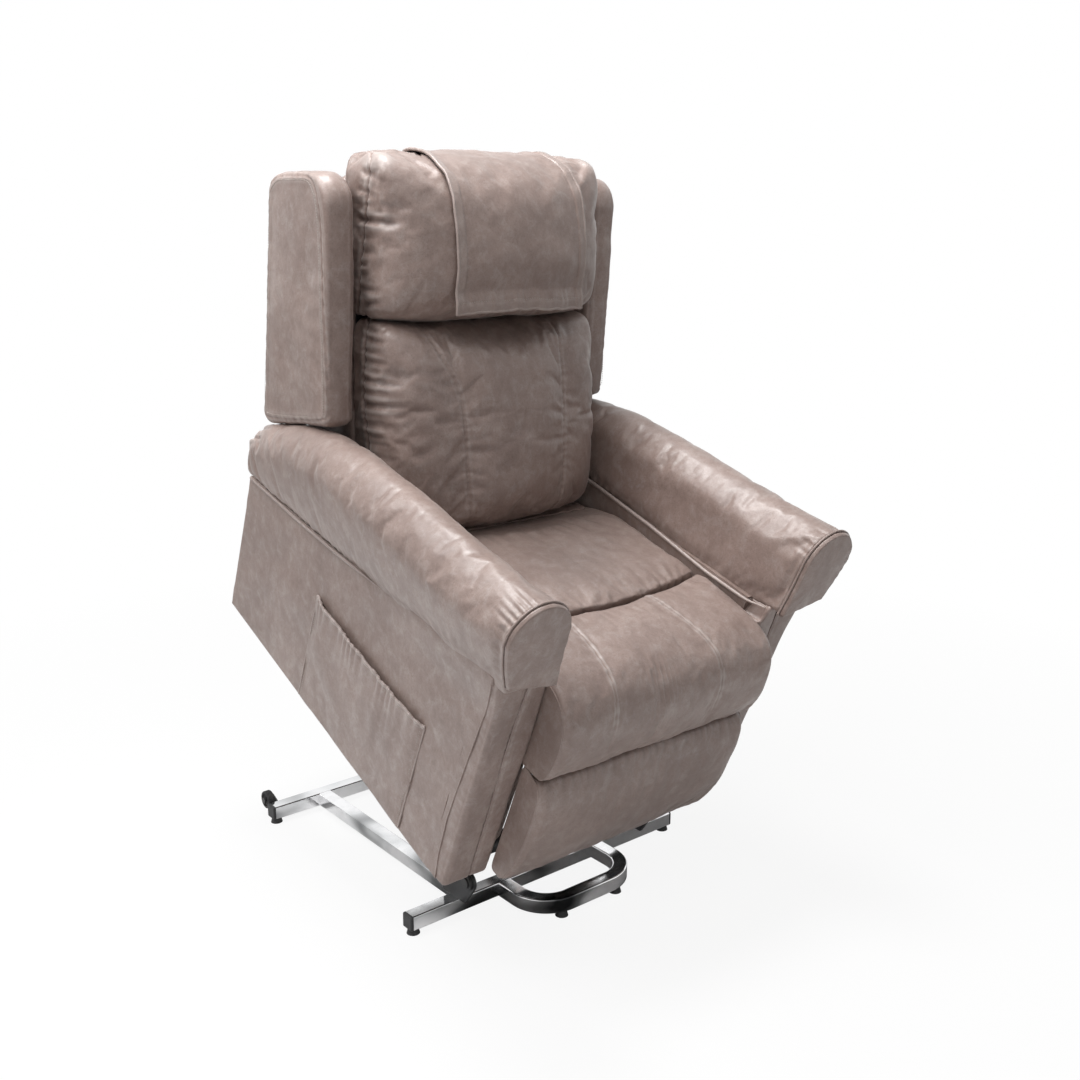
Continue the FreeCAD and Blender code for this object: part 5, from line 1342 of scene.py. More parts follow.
def arm_relief(p):
    """Gathers that run back from the facing, puckers along the lower edge, a pinched rear end.

    turn is the angle about the roll's middle, in degrees from straight outwards.
    """
    x, y, z = p.T
    x = np.abs(x)
    middle_x = between(ARM_ROWS, 3, y)
    middle_z = between(ARM_ROWS, 4, y)
    turn = np.degrees(np.arctan2(z - middle_z, x - middle_x))
    turn = np.where(turn < -90, turn + 360, turn)
    low = between(ARM_ROWS, 1, y) * (x > middle_x) + between(ARM_ROWS, 2, y) * (x <= middle_x)
    out = folds(y, turn, ARM_FOLDS)
    out += groove(y + 19, 0.7, 2.4, 0.8)
    small = np.sin(y / 4.4 + 2.2 * np.sin(y / 26))
    out += 0.7 * small * np.exp(-((z - low - 8) / 10) ** 2) * smooth_step(330, 480, y)
    out += 8.0 * np.exp(-((turn - 22) / 20) ** 2 - ((y - 873) / 11) ** 2)
    return out


def arm_held(p):
    """The two ends and a strip along the lower edge."""
    x, y, z = p.T
    outside = np.abs(x) > 310
    low = between(ARM_ROWS, 1, y) * outside + between(ARM_ROWS, 2, y) * ~outside
    return (y < -16) | (y > 868) | (z < low + 8)


def mirror(points, side):
    """Points on the chair's right, turned over to its left where side is -1."""
    return points * np.array((side, 1.0, 1.0))


def facing_relief(p):
    """Radial puckers near the facing's rim, a sine of the angle about its middle."""
    x, y, z = p.T
    across, up = np.abs(x) - FACING_MIDDLE[0], z - FACING_MIDDLE[1]
    turn = np.arctan2(up, across)
    out = 0.5 * np.sin(turn * 17 + 2 * np.sin(turn * 3))
    out = out * smooth_step(34, 60, np.hypot(across, up * 0.7))
    return out * smooth_step(-22, -27, y)


def build_arm(side, name):
    """Rolled arm from rings joined by splines, its facing, the cord round it and two welts.

    The outer welt runs along the lower edge outside, the inner one along the edge inside.
    """
    rings = []
    for row in ARM_ROWS:
        ring = arm_ring(row, -2.0)
        rings.append(np.stack((ring[:, 0], np.full(len(ring), row[0]), ring[:, 1]), 1))
    grid = spline(len(rings), 120, False, 1.0) @ np.array(rings).reshape(len(rings), -1)
    roll = skin(f"arm_roll_{name}", seat_place(mirror(grid.reshape(120, -1, 3), side)))
    swell(roll, seat_read, arm_held, *ARM_WORK)
    p = seat_read(read(roll.data))
    carve(roll, arm_relief(p), uneven(p, 0.8, 0.3, 23) * smooth_step(-18, 10, p[:, 1]))
    dress(roll, cover(), "chair", (f"arm_pad_{name}",))
    loop = arm_ring(ARM_ROWS[0], 1.0)
    front = slab((loop, loop), (-20.3, -33.0), 3.6, (0.0, 2.6), 0.8, (16, 6, 6))
    face = skin(f"arm_facing_cover_{name}", seat_place(mirror(front[..., (1, 0, 2)], side)))
    carve(face, facing_relief(seat_read(read(face.data))))
    dress(face, cover(), "chair", (f"arm_facing_{name}",))
    rim = curve(arm_ring(ARM_ROWS[0], 2.6), 220, True)
    rim = np.stack((rim[:, 0], np.full(len(rim), -21.5), rim[:, 1]), 1)
    welt(f"arm_front_welt_{name}", mirror(rim, side), 2.2, closed=True, rubbed=0.4)
    ys = np.linspace(340, 846, 200)
    line = np.stack((np.full(len(ys), PANEL_OUT + 3.4), ys, between(ARM_ROWS, 1, ys) - 1.0), 1)
    size = 0.5 + 2.9 * smooth_step(340, 480, ys)
    outer = welt(f"arm_outer_welt_{name}", mirror(line, side), size)
    ys = np.linspace(6, 862, 260)
    line = np.stack((np.full(len(ys), PANEL_IN + 0.4), ys, between(ARM_ROWS, 2, ys) - 0.5), 1)
    line[:, 0] += 3.0 * smooth_step(50, 6, ys)
    line[:, 2] += 3.0 * smooth_step(50, 6, ys)
    size = 1.6 + 2.6 * smooth_step(6, 80, ys)
    inner = welt(f"arm_inner_welt_{name}", mirror(line, side), size)
    along = tuple(seat_place((0, 1000, 0)) - seat_place((0, 0, 0)))
    for piece in (roll, outer, inner):
        seat_spot(0, -20, 500)
        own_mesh(piece)


def post_seam(z):
    """Y of the sewn line down the outer flank, where the side's cloth laps over the post."""
    return np.interp(z, (0, 60, 145, 289, 383, 500), (19, 28, 33, 26, 20, 8))


def panel_loop(column, low, front):
    """Outline (Y, Z) of the side panel: straight below and behind, its top along the arm's edge.

    column picks the arm's outer or inner edge; front laps the outline over the post and lifts
    its top into the arm.
    """
    rise = np.linspace(0, 1, 40)
    ys = np.linspace(POST_DEEP + 0.6, PANEL_REAR, 60)
    top = between(ARM_ROWS, column, ys)
    corner = np.linspace(0, math.pi / 2, 6)[:, None]
    r = 12.0
    bend = np.hstack((PANEL_REAR - r + r * np.sin(corner), low + r - r * np.cos(corner)))
    height = low + (between(ARM_ROWS, column, 24.0) - low) * rise[::-1]
    edge = np.stack((post_seam(height) if front else np.full(40, POST_DEEP + 0.6), height), 1)
    if front:
        top = top + 14 * smooth_step(480, 330, ys)
    return spaced(np.vstack((bend, np.stack((ys, top), 1)[::-1], edge)), 360)


def flared(points):
    """Spreads the outer faces of side panel and post to the arm's wider lower edge in front."""
    x, y, z = np.moveaxis(np.asarray(points, float), -1, 0)
    edge = between(ARM_ROWS, 1, y)
    way = between(ARM_ROWS, 7, y) * smooth_step(edge - 95, edge + 6, z)
    return np.stack((x + way * smooth_step(330, 352, x), y, z), -1)


def post_line(z):
    """Place across of the sewn line down the post's face."""
    return np.interp(z, (0, 180, 300, 380, 460), (296, 300, 305, 306, 301))


def post_relief(p):
    """A sewn line down the face, with small puckers beside it and along the flank's edge."""
    x, y, z = p.T
    x = np.abs(x)
    flank = smooth_step(350, 355, x)
    face = smooth_step(8, 3, y)
    seam = post_line(z)
    out = face * groove(x - seam, 1.6, 2.4)
    small = np.sin(z / 3.6 + 2.4 * np.sin(z / 27))
    beside = flank * np.exp(-((y - 14) / 8) ** 2) + face * np.exp(-((x - seam) / 9) ** 2)
    return out + 0.35 * small * beside


def build_side(side, name):
    """Side panel with slanted soft folds, the post in front of it and the post's two welts."""
    loops = (panel_loop(2, 1.0, False), panel_loop(1, 1.0, True))
    grid = slab(loops, (PANEL_IN + 0.2, PANEL_OUT + 0.6), 3.0, (0.0, 1.2), 0.6, (44, 5, 18))
    panel = skin(f"side_panel_cover_{name}", seat_place(mirror(flared(grid), side)))
    p = seat_read(read(panel.data))
    outer = smooth_step(345, 354, np.abs(p[:, 0]))
    slant = p[:, 1] * 0.35 + p[:, 2]
    slack = outer * 0.5 * np.sin(slant / 19 + 2 * np.sin(p[:, 1] / 61))
    carve(panel, np.zeros(len(p)), slack + uneven(p * (1, 0.7, 1), 1.1, 0.4, 31) * outer)
    dress(panel, cover(), "chair")
    discs = ((PANEL_OUT - 13, 12.0, 12.0), (POST_IN + 12, 12.0, 11.0),
             (POST_IN + 4, POST_DEEP - 4, 3.0), (PANEL_OUT - 4.5, POST_DEEP - 4, 3.0))
    loop = hull_loop(discs, 240)
    form = slab((loop, loop), (1.5, POST_TALL), 4.0, 0.0, 1.6, (14, 4, 150))
    x, y = form[..., 1], form[..., 2]
    share = np.clip((x - POST_IN) / (PANEL_OUT - POST_IN), 0, 1)
    top = between(ARM_ROWS, 2, y) * (1 - share) + between(ARM_ROWS, 1, y) * share - 1.5
    top = top - 26 * smooth_step(277, 265, x)
    grid = flared(np.stack((x, y, form[..., 0] / POST_TALL * top), -1))
    post = skin(f"post_cover_{name}", seat_place(mirror(grid, side)))
    p = seat_read(read(post.data))
    half = np.abs(np.abs(p[:, 0]) - post_line(p[:, 2]))
    swollen = smooth_step(8, 3, p[:, 1]) * 2.4 * smooth_step(0, 16, half)
    carve(post, post_relief(p), swollen + uneven(p, 0.7, 0.3, 35))
    dress(post, cover(), "chair", (f"front_post_{name}",))
    zs = np.linspace(4, POST_TALL, 160)
    flank = flared(np.stack((np.full(160, PANEL_OUT + 0.6), post_seam(zs) + 1.5, zs), 1))
    face = np.stack((post_line(zs), np.full(160, -0.2), zs), 1)
    for k, line in enumerate((flank, face)):
        welt(f"post_welt_{name}_{k + 1}", mirror(line, side), 1.5, rubbed=0.0)


POCKET_LONG = 390


def crimped(y):
    """Wave of the elastic's gathers, its phase drawn to and fro."""
    return np.sin(y / 3.3 + 2.6 * np.sin(y / 21.0))


def pocket_face(share_y, share_z):
    """The pocket's cloth: it stands away towards its top, gathered on elastic into small folds."""
    y = 148 + POCKET_LONG * share_y
    ends = np.clip(np.minimum(share_y, 1 - share_y) * 9, 0, 1)
    ends = ends * (2 - ends)
    crimp = crimped(y)
    z = 4 + 249 * share_z + share_z ** 6 * (1.3 * crimp - 3.5 * np.sin(math.pi * share_y))
    belly = np.sin(math.pi * np.clip(share_z * 0.8, 0, 1)) * 0.35 + share_z ** 2 * 0.75
    out = 358.2 + ends * (9.5 * belly)
    out += ends * 1.5 * crimp * np.exp(-(1 - share_z) / 0.12)
    out += ends * 1.2 * np.sin(y / 10.5 + 2 * np.sin(y / 47)) * np.exp(-(1 - share_z) / 0.5)
    return np.stack((-out, y, z), -1)


def build_pocket():
    """Side pocket as a gathered cloth, its elastic edge as a cord, side seams and their threads."""
    a, b = np.meshgrid(np.linspace(0, 1, 300), np.linspace(0, 1, 110))
    obj = thicken(skin("pocket_cloth", seat_place(pocket_face(a, b)), closed=False), 0.0026)
    p = seat_read(read(obj.data))
    carve(obj, 0.8 * smooth_step(246, 252, p[:, 2]), ripple(p, 70, 41))
    dress(obj, cover(), "chair", ("side_pocket",))
    edge = np.linspace(0, 1, 420)
    top = pocket_face(edge, np.ones_like(edge)) + np.array((0, 0, 1.2))
    size = 3.1 + 0.5 * crimped(edge * POCKET_LONG)
    # The piping is marked palest: rubbed nap, and in part a painted highlight.
    piping = welt("pocket_piping", top, size, rubbed=1.8)
    rise = np.linspace(0, 1, 120)
    for k, (share, near, way) in enumerate(((0.0, 0.02, 7.0), (1.0, 0.98, -7.0))):
        seam = pocket_face(np.full(120, share), rise) - np.array((1.0, 0, 0))
        welt(f"pocket_seam_{k + 1}", seam, 1.7)
        line = seam + np.array((0, way, 0))
        line[:, 0] = pocket_face(np.full(120, near), rise)[:, 0] - 1.2
        threads = stitches(f"pocket_threads_{k + 1}", seat_place(line), (-1.0, 0, 0))
        dress(threads, LOOKS["thread"], "chair")


def build_skirt():
    """Rear skirt: a cloth stretched between the side panels, waved most along its lower edge."""
    a, b = np.meshgrid(np.linspace(-1, 1, 200), np.linspace(0, 1, 70))
    x = a * 262
    z = 7 + 182 * b
    y = 846.5 + 1.6 * np.sin(x / 31 + 2 * np.sin(x / 83)) * (1 - b) - 1.5 * b
    obj = skin("rear_skirt_cover", seat_place(np.stack((x, y, z), -1)), closed=False)
    thicken(obj, 0.004)
    p = seat_read(read(obj.data))
    carve(obj, groove(p[:, 2] - 20, 1.4, 3.0, 0.3), 0.9 * ripple(p, 80, 45))
    dress(obj, cover(), "chair", ("rear_skirt",))


def build_wing(side, name):
    """Wing: a bulging slab with a sewn line round its outer face and threads beside the line.

    The line is the one of WING_SEAM; each point's distance to it is the least over its samples.
    """
    loop = hull_loop(WING_DISCS, 360)
    grid = slab((loop, loop), (WING_IN + 0.3, WING_OUT), 13.0, (1.0, 3.0), 2.4, (30, 8, 26))
    obj = skin(f"wing_cover_{name}", back_place(mirror(grid, side)))
    seam = curve(WING_SEAM, 300, True)
    p = back_read(read(obj.data))
    across = (p[:, 1:2] - seam[None, :, 0]) ** 2 + (p[:, 2:] - seam[None, :, 1]) ** 2
    off = np.sqrt(across.min(1))
    outer = smooth_step(WING_OUT - 12, WING_OUT - 4, np.abs(p[:, 0]))
    run = p[:, 2] - p[:, 1]
    out = outer * (groove(off, 1.8, 2.4, 0.7) + groove(off - 7, 0.8, 2.0, 0.5))
    out += groove(np.abs(p[:, 0]) - (WING_IN + 7), 1.6, 2.4)
    out += 0.4 * outer * np.sin(run / 3.7 + 2.2 * np.sin(run / 29)) * np.exp(-(off / 8) ** 2)
    carve(obj, out, uneven(p, 1.3, 0.5, 51))
    dress(obj, cover(), "backrest", (f"wing_{name}",))
    line = curve(WING_SEAM, 700, True)
    line = line - loop_normals(line) * 7
    path = np.column_stack((np.full(len(line), WING_OUT + 1.0), line))
    threads = stitches(f"wing_threads_{name}", back_place(mirror(path, side)), (side, 0, 0))
    dress(threads, LOOKS["thread"], "backrest")
    up = tuple(back_place((0, 0, 1000)) - back_place((0, 0, 0)))
    for piece in (obj, threads):
        tuple(back_place((0, 90, 446)))
        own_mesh(piece)


def build_shell():
    """Upholstered rear of the back, wider above the arms, open in front for the frame.

    The faces whose corners all lie in the opening are dropped, then the rest gets its wall.
    """
    loop = hull_loop([(u, w, SHELL_CORNER) for u, w in SHELL_DISCS], 420)
    grid = slab((loop, loop), (-SHELL_HALF, SHELL_HALF), 12.0, 2.0, 3.0, (26, 7, 120))
    x, u, w = np.moveaxis(grid, -1, 0)
    wide = smooth_step(SHELL_STEP - 12, SHELL_STEP + 14, w)
    half = SHELL_LOW_HALF + (SHELL_HALF - SHELL_LOW_HALF) * wide
    drop = 34 * smooth_step(175, 270, np.abs(x)) * smooth_step(330, 450, w)
    grid = np.stack((x * half / SHELL_HALF, u, w - drop), -1)
    obj = skin("back_shell_cover", back_place(grid))
    p = back_read(read(obj.data))
    count = len(obj.data.polygons)
    total = np.empty(count, int)
    first = np.empty(count, int)
    obj.data.polygons.foreach_get("loop_total", total)
    obj.data.polygons.foreach_get("loop_start", first)
    corner = np.empty(len(obj.data.loops), int)
    obj.data.loops.foreach_get("vertex_index", corner)
    inside = (np.abs(p[:, 0]) < 240) & (p[:, 1] < 96) & (p[:, 2] < 436)
    opening = np.add.reduceat(inside[corner].astype(int), first) == total
    work = bmesh.new()
    work.from_mesh(obj.data)
    work.faces.ensure_lookup_table()
    gone = [work.faces[int(k)] for k in np.nonzero(opening)[0]]
    bmesh.ops.delete(work, geom=gone, context="FACES")
    work.to_mesh(obj.data)
    work.free()
    thicken(obj, 0.004, -1.0)
    x, u, w = back_read(read(obj.data)).T
    rear = smooth_step(120, 160, u)
    out = rear * (groove(np.abs(x) - 168, 2.4, 2.8) + groove(w + 40, 2.4, 2.8) * (np.abs(x) < 168))
    out += groove(np.abs(x) - (SHELL_HALF - 14), 1.8, 2.8) * smooth_step(20, 40, w)
    carve(obj, out, uneven(np.stack((x, u, w), 1), 1.4, 0.5, 61))
    dress(obj, cover(), "backrest", ("back_shell",))


# Head cloth: its section (U, W) from the front hem over the pillow to the rear, and the places
# across of its two side edges at shares of that way
CLOTH_PATH = ((-150, 192), (-152, 212), (-150, 258), (-142, 320), (-128, 380), (-114, 430),
              (-96, 462), (-66, 486), (-20, 500), (20, 500), (46, 492), (62, 470))
CLOTH_SHARES = (0, 0.25, 0.5, 0.68, 0.8, 1)
CLOTH_LEFT = (-142, -141, -138, -134, -132, -130)
CLOTH_RIGHT = (163, 167, 168, 162, 154, 146)
CLOTH_LONG = 450
CLOTH_WIDE = 310
CLOTH_FREE = 238


def build_head_cloth(pillow):
    """Loose cloth over the head pillow: a guide surface shrunk onto it, then hemmed.

    Down the front it hangs free of the pillow's under side. Its edges are turned in to a thick
    round hem with a band of doubled cloth beside it.
    """
    rows, cols = 190, 170
    fine = curve(CLOTH_PATH, rows)
    t = np.linspace(0, 1, rows)
    left = np.interp(t, CLOTH_SHARES, CLOTH_LEFT)
    right = np.interp(t, CLOTH_SHARES, CLOTH_RIGHT)
    share = np.linspace(0, 1, cols)
    x = left[:, None] + (right - left)[:, None] * share[None]
    back = 36 * np.abs(x / 250) ** 2.2 * smooth_step(500, 440, fine[:, 1])[:, None]
    guide = np.stack((x, fine[:, :1] + back, np.broadcast_to(fine[:, 1:], x.shape)), -1)
    obj = skin("head_cloth", back_place(guide), closed=False)
    wrap = obj.modifiers.new("wrap", "SHRINKWRAP")
    wrap.target = pillow
    wrap.wrap_method = "NEAREST_SURFACEPOINT"
    wrap.wrap_mode = "OUTSIDE_SURFACE"
    wrap.offset = 0.003
    settle(obj)
    points = back_read(read(obj.data)).reshape(rows, cols, 3)
    for _ in range(10):
        points[1:-1] = 0.5 * points[1:-1] + 0.25 * (points[:-2] + points[2:])
        points[:, 1:-1] = 0.5 * points[:, 1:-1] + 0.25 * (points[:, :-2] + points[:, 2:])
    free = smooth_step(CLOTH_FREE, CLOTH_FREE - 26, fine[:, 1])[:, None, None]
    lowest = int(np.argmin(np.abs(fine[:, 1] - CLOTH_FREE)))
    down = np.array(((0.0, 0.7, 0.0), (0.0, 0.0, 1.0)))
    hang = points[lowest] + (fine - fine[lowest])[:, None] @ down
    points = points * (1 - free) + hang * free
    run = t[:, None] * CLOTH_LONG
    cross = share[None] * CLOTH_WIDE
    edge = np.minimum(cross, CLOTH_WIDE - cross)
    band = np.clip(smooth_step(19, 15, edge) + smooth_step(19, 15, run), 0, 1)
    pucker = np.sin(cross / 2.9 + 2.4 * np.sin(cross / 23)) * np.exp(-((run - 20) / 12) ** 2)
    side = np.exp(-((edge - 16) / 5) ** 2)
    lift = 2.2 * band + 1.2 * smooth_step(60, 0, run) + 0.7 * pucker
    lift += 0.6 * side * np.sin(run / 8 + 2 * np.sin(run / 41))
    lift += 2.2 * smooth_step(26, 0, edge)
    lift += 1.3 * ripple(points.reshape(-1, 3), 120, 71).reshape(rows, cols)
    front = smooth_step(505, 470, fine[:, 1])[:, None]
    points[..., 1] -= np.maximum(lift, -0.6) * front
    points[..., 2] += np.maximum(lift, -0.6) * (1 - front)
    write(obj.data, back_place(points.reshape(-1, 3)))
    # The band along the hems turns pale, rubbed nap with a painted highlight in part; its sewn line
    # is darkened, painted shade.
    pale = 0.55 * band - 0.9 * np.exp(-((edge - 17.5) / 1.6) ** 2) * (run > 15)
    marked(obj, pale)
    thicken(obj, 0.0032, 1.0)
    dress(obj, cover(), "backrest", ("head_cushion", "head_cover"))
    away = np.array((0, 1.6, 0))
    round_edge = np.vstack((points[:0:-1, 0], points[0], points[1:, -1])) - away
    hem = dress(cording("head_cloth_hem", back_place(round_edge[3:-3]), 3.0), cover(), "backrest")
    low = back_place(points[8, 4:-4] - np.array((0, 3.6, 0)))
    out = back_place((0, -1, 0)) - back_place((0, 0, 0))
    threads = stitches("head_cloth_threads", low, out / np.linalg.norm(out))
    dress(threads, LOOKS["thread"], "backrest")


class ReclinerCover(bpy.types.PropertyGroup):
    """Colours of the cover."""

    cover_colour: bpy.props.FloatVectorProperty(
        name="Cover", description="Main colour of the suede-like cover", subtype="COLOR", size=3,
        min=0, max=1, default=linear((151, 131, 123)))
    # Besides the rubbed mottling, this pale colour gives raised relief and cords a painted
    # highlight in part.
    rubbed_and_sheen_colour: bpy.props.FloatVectorProperty(
        name="Rubbed", description="Colour of the cover where its nap is rubbed pale",
        subtype="COLOR", size=3, min=0, max=1, default=linear((186, 175, 170)))
    # Besides the dark mottling, this colour at 0.45 gives the painted shade in seams, folds and
    # gathers.
    shade_colour: bpy.props.FloatVectorProperty(
        name="Shade", description="Colour of the cover's dark mottling", subtype="COLOR", size=3,
        min=0, max=1, default=linear((112, 93, 86)))


class ReclinerStage(bpy.types.PropertyGroup):
    """Lamps, floor and camera."""

    lens: bpy.props.FloatProperty(
        name="Lens", description="Focal length of the camera on a 36 mm sensor",
        subtype="DISTANCE_CAMERA", default=41.853, min=10, max=200)
    top_power: bpy.props.FloatProperty(
        name="Top lamp", description="Power of the lamp overhead", subtype="POWER",
        unit="POWER", default=78.0, min=0)
    side_power: bpy.props.FloatProperty(
        name="Side lamp", description="Power of the lamp above and to the left", subtype="POWER",
        unit="POWER", default=60.0, min=0)
    front_power: bpy.props.FloatProperty(
        name="Front lamp", description="Power of the soft lamp in front and to the left",
        subtype="POWER", unit="POWER", default=30.0, min=0)
    ambient: bpy.props.FloatProperty(
        name="Ambient", description="Strength of the even light from all round", default=0.12,
        min=0, max=2)
    floor_colour: bpy.props.FloatVectorProperty(
        name="Floor", description="Colour of the floor", subtype="COLOR", size=3, min=0, max=1,
        default=(0.9, 0.9, 0.9))


def cover():
    """The cover's material, made once with the thread's and a darker copy of the cover in painted
    shade, and shared by all.
    """
    if not LOOKS:
        LOOKS["cover"] = suede_look("worn_suede_cover")
        # A copy of the cover's look at 0.6 of its tone: painted shade for the core behind the knee
        # pad.
        LOOKS["lining"] = suede_look("lining_under_cover", 0.6, 0.7)
        LOOKS["thread"] = thread_look("sewing_thread")
    return LOOKS["cover"]


class RECLINER_OT_camera(bpy.types.Operator):
    """Camera at the photograph's place and angle"""

    bl_idname = "recliner.camera"
    bl_label = "Camera"

    def execute(self, context):
        data = bpy.data.cameras.new("camera")
        data.sensor_width = 36
        data.lens = context.scene.recliner_stage.lens
        data.clip_end = 50
        camera = bpy.data.objects.new("camera", data)
        context.scene.collection.objects.link(camera)
        camera.location = CAMERA_PLACE
        camera.rotation_mode = "QUATERNION"
        camera.rotation_quaternion = Vector(CAMERA_AXIS).to_track_quat("-Z", "Y")
        context.scene.camera = camera
        return {"FINISHED"}


class RECLINER_OT_cushions(bpy.types.Operator):
    """Head pillow with its loose cloth, lumbar cushion and seat cushion"""

    bl_idname = "recliner.cushions"
    bl_label = "Back and seat cushions"

    def execute(self, context):
        build_head_cloth(cushion(
            "head_pillow", HEAD_ROWS, HEAD_PLACES, (0, 1, 2), (head_held, head_relief),
            "backrest", (), (1.4, 0.5, 3), BACK_WORK))
        cushion(
            "lumbar_pillow", LUMBAR_ROWS, LUMBAR_PLACES, (0, 1, 2), (lumbar_held, lumbar_relief),
            "backrest", ("lumbar_cushion",), (1.5, 0.5, 7), BACK_WORK)
        cushion(
            "seat_pad", SEAT_ROWS, SEAT_PLACES, (0, 2, 1), (seat_held, seat_relief),
            "chair", ("seat_cushion",), (1.2, 0.4, 11), SEAT_WORK)
        return {"FINISHED"}


class RECLINER_OT_crease(bpy.types.Operator):
    """Cloth that closes the crease between seat and back"""

    bl_idname = "recliner.crease"
    bl_label = "Crease cloth"

    def execute(self, context):
        a, b = np.meshgrid(np.linspace(-1, 1, 120), np.linspace(0, 1, 60))
        y = 478 + 88 * b
        z = np.interp(y, (478, 500, 534, 557, 566), (396, 391, 376, 367, 363))
        z = z + 1.2 * np.sin(a * 31 + 2 * np.sin(a * 7))
        grid = seat_place(np.stack((a * 222, y, z), -1))
        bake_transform(plain_cloth("crease_cloth", grid, 0.003), "chair", "backrest",
                 start=seat_spot(0, 488, 390), end=seat_spot(0, 552, 370))
        return {"FINISHED"}


class RECLINER_OT_wings(bpy.types.Operator):
    """Wings beside the back cushions and the upholstered rear of the back"""

    bl_idname = "recliner.wings"
    bl_label = "Wings and rear of the back"

    def execute(self, context):
        for side, name in SIDES:
            build_wing(side, name)
        build_shell()
        return {"FINISHED"}


class RECLINER_OT_arms(bpy.types.Operator):
    """Rolled arms with their facings and welts"""

    bl_idname = "recliner.arms"
    bl_label = "Arms"

    def execute(self, context):
        for side, name in SIDES:
            build_arm(side, name)
        return {"FINISHED"}


class RECLINER_OT_sides(bpy.types.Operator):
    """Side panels, front posts, side pocket and rear skirt"""

    bl_idname = "recliner.sides"
    bl_label = "Sides"

    def execute(self, context):
        for side, name in SIDES:
            build_side(side, name)
        build_pocket()
        build_skirt()
        return {"FINISHED"}


class RECLINER_OT_legrest(bpy.types.Operator):
    """Knee pad and the lower leg pad"""

    bl_idname = "recliner.legrest"
    bl_label = "Knee pad and legrest"

    def execute(self, context):
        build_knee_pad()
        build_lower_pad()
        return {"FINISHED"}


class RECLINER_OT_frame_finishes(bpy.types.Operator):
    """Finishes of the base, the linkage, the motors, the webbing and the boards"""

    bl_idname = "recliner.frame_finishes"
    bl_label = "Frame finishes"

    def execute(self, context):
        looks = {
            "bright_tube": chrome_look("plated_tube"),
            "black_plastic": plastic_look("moulded_plastic"),
            "wheel_rubber": rubber_look("tyre_rubber"),
            "dark_steel": painted_look("coated_steel"),
            "bright_rod": rod_look("drawn_rod"),
            "webbing": webbing_look("elastic_webbing"),
            "board": board_look("plywood_board"),
            "cover": cover(),
        }
        slots = {row["node"]: row["material_slot"] for row in frame["record"]["subparts"]}
        for name, obj in frame["nodes"].items():
            for place in obj.material_slots:
                place.material = looks[slots[name]]
        return {"FINISHED"}


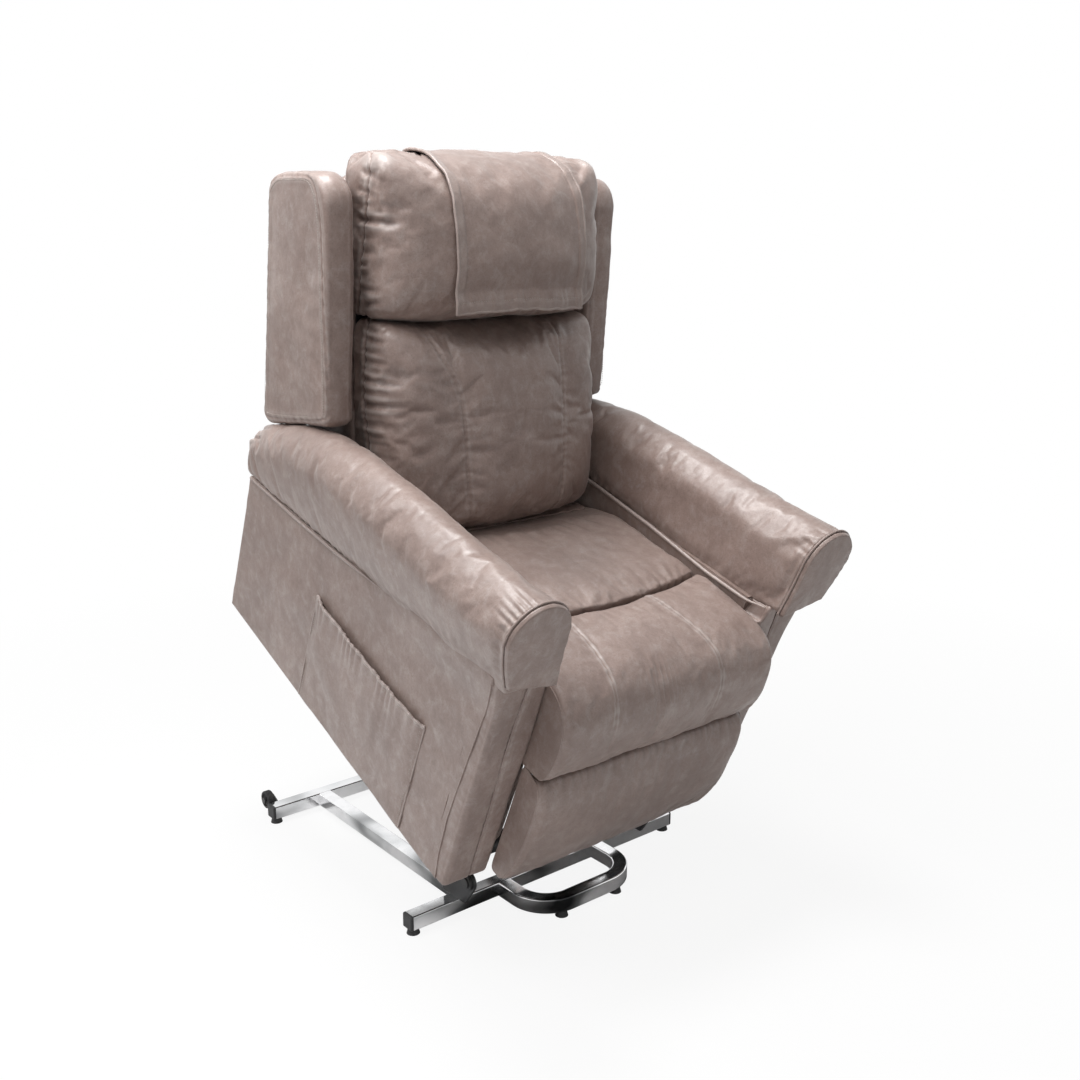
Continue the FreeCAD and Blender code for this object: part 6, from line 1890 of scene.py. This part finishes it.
class RECLINER_OT_stage(bpy.types.Operator):
    """Pale floor, white surroundings and soft lamps"""

    bl_idname = "recliner.stage"
    bl_label = "Stage"

    def execute(self, context):
        props = context.scene.recliner_stage
        line = np.linspace(-14, 14, 9)
        grid = np.stack(np.meshgrid(line, line, [0.0]), -1)[:, :, 0]
        floor = skin("floor", grid, closed=False, smooth=False)
        if floor.data.polygons[0].normal.z < 0:
            floor.data.flip_normals()
        look = Look("pale_floor", Roughness=0.8)
        look.feed(look.shader.inputs["Base Color"], (*props.floor_colour, 1.0))
        rays = look.node("ShaderNodeLightPath")
        glow = look.node("ShaderNodeEmission", {}, {"Strength": 1.0})
        middle = look.node("ShaderNodeVectorMath", {"operation": "LENGTH"}, {
            0: look.node("ShaderNodeTexCoord").outputs["Object"]})
        far = look.ranged(Tone(look, middle.outputs["Value"]), 0.9, 2.4, 0.9, 1.0)
        share = Tone(look, rays.outputs["Is Camera Ray"]) * far
        mix = look.node("ShaderNodeMixShader", {}, {
            0: share, 1: look.shader.outputs[0], 2: glow.outputs[0]})
        look.tree.links.new(mix.outputs[0], look.output.inputs["Surface"])
        floor.data.materials.append(look.material)
        world = bpy.data.worlds.new("surroundings")
        world.use_nodes = True
        tree = world.node_tree
        sky = tree.nodes["Background"]
        sky.inputs["Strength"].default_value = props.ambient
        sky.inputs["Color"].default_value = (1, 1, 1, 1)
        bright = tree.nodes.new("ShaderNodeBackground")
        bright.inputs["Color"].default_value = (1, 1, 1, 1)
        path = tree.nodes.new("ShaderNodeLightPath")
        first = tree.nodes.new("ShaderNodeMath")
        second = tree.nodes.new("ShaderNodeMath")
        first.operation = second.operation = "MAXIMUM"
        blend = tree.nodes.new("ShaderNodeMixShader")
        tree.links.new(path.outputs["Is Camera Ray"], first.inputs[0])
        tree.links.new(path.outputs["Is Glossy Ray"], first.inputs[1])
        tree.links.new(first.outputs[0], second.inputs[0])
        tree.links.new(path.outputs["Is Transmission Ray"], second.inputs[1])
        tree.links.new(second.outputs[0], blend.inputs[0])
        tree.links.new(sky.outputs[0], blend.inputs[1])
        tree.links.new(bright.outputs[0], blend.inputs[2])
        tree.links.new(blend.outputs[0], tree.nodes["World Output"].inputs["Surface"])
        context.scene.world = world
        context.scene.view_settings.view_transform = "Standard"
        for name, place, size, power in LAMPS:
            data = bpy.data.lights.new(name, "AREA")
            data.shape = "DISK"
            data.size = size
            data.energy = getattr(props, power)
            lamp = bpy.data.objects.new(name, data)
            context.scene.collection.objects.link(lamp)
            lamp.location = place
            lamp.rotation_mode = "QUATERNION"
            lamp.rotation_quaternion = (Vector(LAMP_AIM) - Vector(place)).to_track_quat("-Z", "Y")
        return {"FINISHED"}


STEPS = (
    RECLINER_OT_camera, RECLINER_OT_cushions, RECLINER_OT_crease, RECLINER_OT_wings,
    RECLINER_OT_arms, RECLINER_OT_sides, RECLINER_OT_legrest, RECLINER_OT_frame_finishes,
    RECLINER_OT_stage,
)


class RECLINER_PT_panel(bpy.types.Panel):
    """Buttons and settings of the recliner in the 3D view's sidebar"""

    bl_label = "Recliner"
    bl_idname = "RECLINER_PT_panel"
    bl_space_type = "VIEW_3D"
    bl_region_type = "UI"
    bl_category = "Recliner"

    def draw(self, context):
        scene = context.scene
        for group in (scene.recliner_cover, scene.recliner_stage):
            for name in group.bl_rna.properties.keys():
                if name not in ("rna_type", "name"):
                    self.layout.prop(group, name)
        for step in STEPS:
            self.layout.operator(step.bl_idname)


CLASSES = (ReclinerCover, ReclinerStage, *STEPS, RECLINER_PT_panel)


def register():
    """Adds the settings, the steps and the panel."""
    for item in CLASSES:
        bpy.utils.register_class(item)
    bpy.types.Scene.recliner_cover = bpy.props.PointerProperty(type=ReclinerCover)
    bpy.types.Scene.recliner_stage = bpy.props.PointerProperty(type=ReclinerStage)


def unregister():
    """Takes them out again."""
    del bpy.types.Scene.recliner_stage
    del bpy.types.Scene.recliner_cover
    for item in reversed(CLASSES):
        bpy.utils.unregister_class(item)


def main():
    """Runs every step."""
    register()
    for step in STEPS:
        group, name = step.bl_idname.split(".")
        getattr(getattr(bpy.ops, group), name)()
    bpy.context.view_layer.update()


if __name__ == "__main__":
    main()
